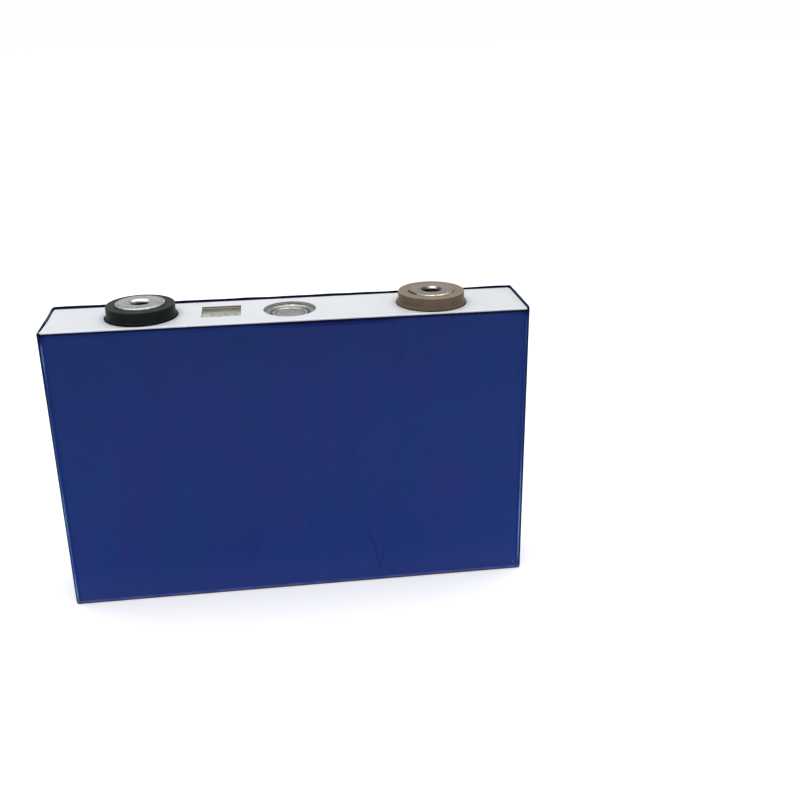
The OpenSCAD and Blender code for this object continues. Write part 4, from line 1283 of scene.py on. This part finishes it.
build_ring("negative", M["black"], "black_plastic")
build_ring("positive", M["brown"], "brown_plastic")
build_post("negative", M["plated"], "plated_terminal")
build_post("positive", M["bare"], "bare_terminal")
build_vent()

# ---------------------------------------------------------------- CAD nodes that stay: better materials
def give(node, material):
    me = NODES[node].data
    if len(me.materials) == 0:
        me.materials.append(material)
    for i in range(len(me.materials)):
        me.materials[i] = material


lid_mat = mat_lid((win["x0"] + win["x1"]) / 2, (win["y0"] + win["y1"]) / 2, win["x1"] - win["x0"], win["y1"] - win["y0"])
inner_white = mat_plain("inner_plastic_natural", (0.74, 0.74, 0.68), (0.80, 0.80, 0.75), (0.42, 0.58), 0.4, 0.3)
rubber = mat_plain("seal_rubber_black", (0.022, 0.022, 0.022), (0.034, 0.034, 0.034), (0.55, 0.75), 0.3, 0.6, 0.00002)
blue_tape = mat_plain("tape_blue_polyimide", (0.020, 0.125, 0.42), (0.030, 0.165, 0.52), (0.18, 0.32), 0.5, 0.2)
green_tape = mat_plain("tape_green", (0.020, 0.25, 0.08), (0.035, 0.33, 0.11), (0.18, 0.32), 0.5, 0.2)
give("can", mat_brushed("can_aluminium", (0.60, 0.61, 0.63), (0.50, 0.51, 0.52), 0, 0.3))
give("cap_plate", lid_mat)
give("sheet_adhesive", mat_plain("adhesive_layer", (0.66, 0.66, 0.60), (0.72, 0.72, 0.67), (0.5, 0.7), 0.3, 0.5))
give("vent_guard", inner_white)
give("fill_port_cap", mat_turned("fill_cap_aluminium", (0.60, 0.60, 0.61), (0.66, 0.66, 0.67), (0.50, 0.50, 0.50)))
give("fill_port_seal", rubber)
for side in ("negative", "positive"):
    give(side + "_gasket", rubber)
    give(side + "_lower_insulator", inner_white)
    give(side + "_weld_tape", blue_tape)
give("negative_collector", mat_brushed("collector_copper", (0.62, 0.29, 0.17), (0.50, 0.21, 0.12), 0, 0.25, (0.24, 0.40)))
give("positive_collector", mat_brushed("collector_aluminium", (0.62, 0.63, 0.64), (0.52, 0.53, 0.54), 0, 0.25, (0.26, 0.42)))
cu_foil = mat_foil("foil_copper", (0.68, 0.34, 0.21), (0.40, 0.17, 0.10))
al_foil = mat_foil("foil_aluminium", (0.68, 0.69, 0.71), (0.45, 0.46, 0.48))
for side, m in (("negative", cu_foil), ("positive", al_foil)):
    for place in ("front", "rear"):
        give(side + "_tabs_" + place, m)
roll = mat_roll()
give("jelly_roll_front", roll)
give("jelly_roll_rear", roll)
give("roll_end_tape_front", green_tape)
give("roll_end_tape_rear", green_tape)
give("insulating_bag", mat_plain("bag_clear_film", (0.62, 0.70, 0.80), (0.70, 0.76, 0.84), (0.12, 0.25), 0.5, 0.15, 0.00002, trans=0.75))
give("bottom_support_plate", inner_white)

# ---------------------------------------------------------------- stage, light and camera
fl = bpy.data.meshes.new("studio_floor")
fl.from_pydata([(-4, -4, -0.00005), (4, -4, -0.00005), (4, 4, -0.00005), (-4, 4, -0.00005)], [], [(0, 1, 2, 3)])
fl.update()
floor = bpy.data.objects.new("studio_floor", fl)
fl.materials.append(mat_floor())
bpy.context.scene.collection.objects.link(floor)


# a wide overhead light, far away, so that the floor is evenly lit
sun = bpy.data.lights.new("overhead_light", "SUN")
sun.energy = 1.75
sun.angle = math.radians(82)
so = bpy.data.objects.new("overhead_light", sun)
so.location = (0, 0, 2)
bpy.context.scene.collection.objects.link(so)

world = bpy.data.worlds.new("studio")
world.use_nodes = True
wt = world.node_tree
wt.nodes.clear()
wo = wt.nodes.new("ShaderNodeOutputWorld")
bg = wt.nodes.new("ShaderNodeBackground")
wtc = wt.nodes.new("ShaderNodeTexCoord")
wsp = wt.nodes.new("ShaderNodeSeparateXYZ")
wrp = wt.nodes.new("ShaderNodeValToRGB")
wt.links.new(wtc.outputs["Generated"], wsp.inputs[0])
wt.links.new(wsp.outputs["Z"], wrp.inputs[0])
for e, (pos, c) in zip([wrp.color_ramp.elements[0], wrp.color_ramp.elements[1], wrp.color_ramp.elements.new(0.42)],
                       ((0.10, 1.0), (1.0, 0.50), (0.34, 0.56))):
    e.position = pos
    e.color = (c * 0.99, c * 0.995, c, 1)
bg.inputs[1].default_value = 1.0
wt.links.new(wrp.outputs[0], bg.inputs[0])
wt.links.new(bg.outputs[0], wo.inputs[0])
bpy.context.scene.world = world

cam = bpy.data.cameras.new("camera")
cam.lens = 45.355
cam.sensor_width = 36
cam.sensor_fit = "HORIZONTAL"
cam.clip_start = 0.01
cam.clip_end = 50
cam.dof.use_dof = False
co = bpy.data.objects.new("camera", cam)
co.location = (-0.0065387, -0.30452909, 0.18288692)
co.rotation_mode = "QUATERNION"
co.rotation_quaternion = Quaternion((0.8263723021901277, 0.558820344656228, -0.03458237205152865, -0.06027188494292061))
bpy.context.scene.collection.objects.link(co)
bpy.context.scene.camera = co
bpy.context.scene.view_settings.view_transform = "Standard"
bpy.context.scene.view_settings.look = "None"

# ---------------------------------------------------------------- update
bpy.context.view_layer.update()
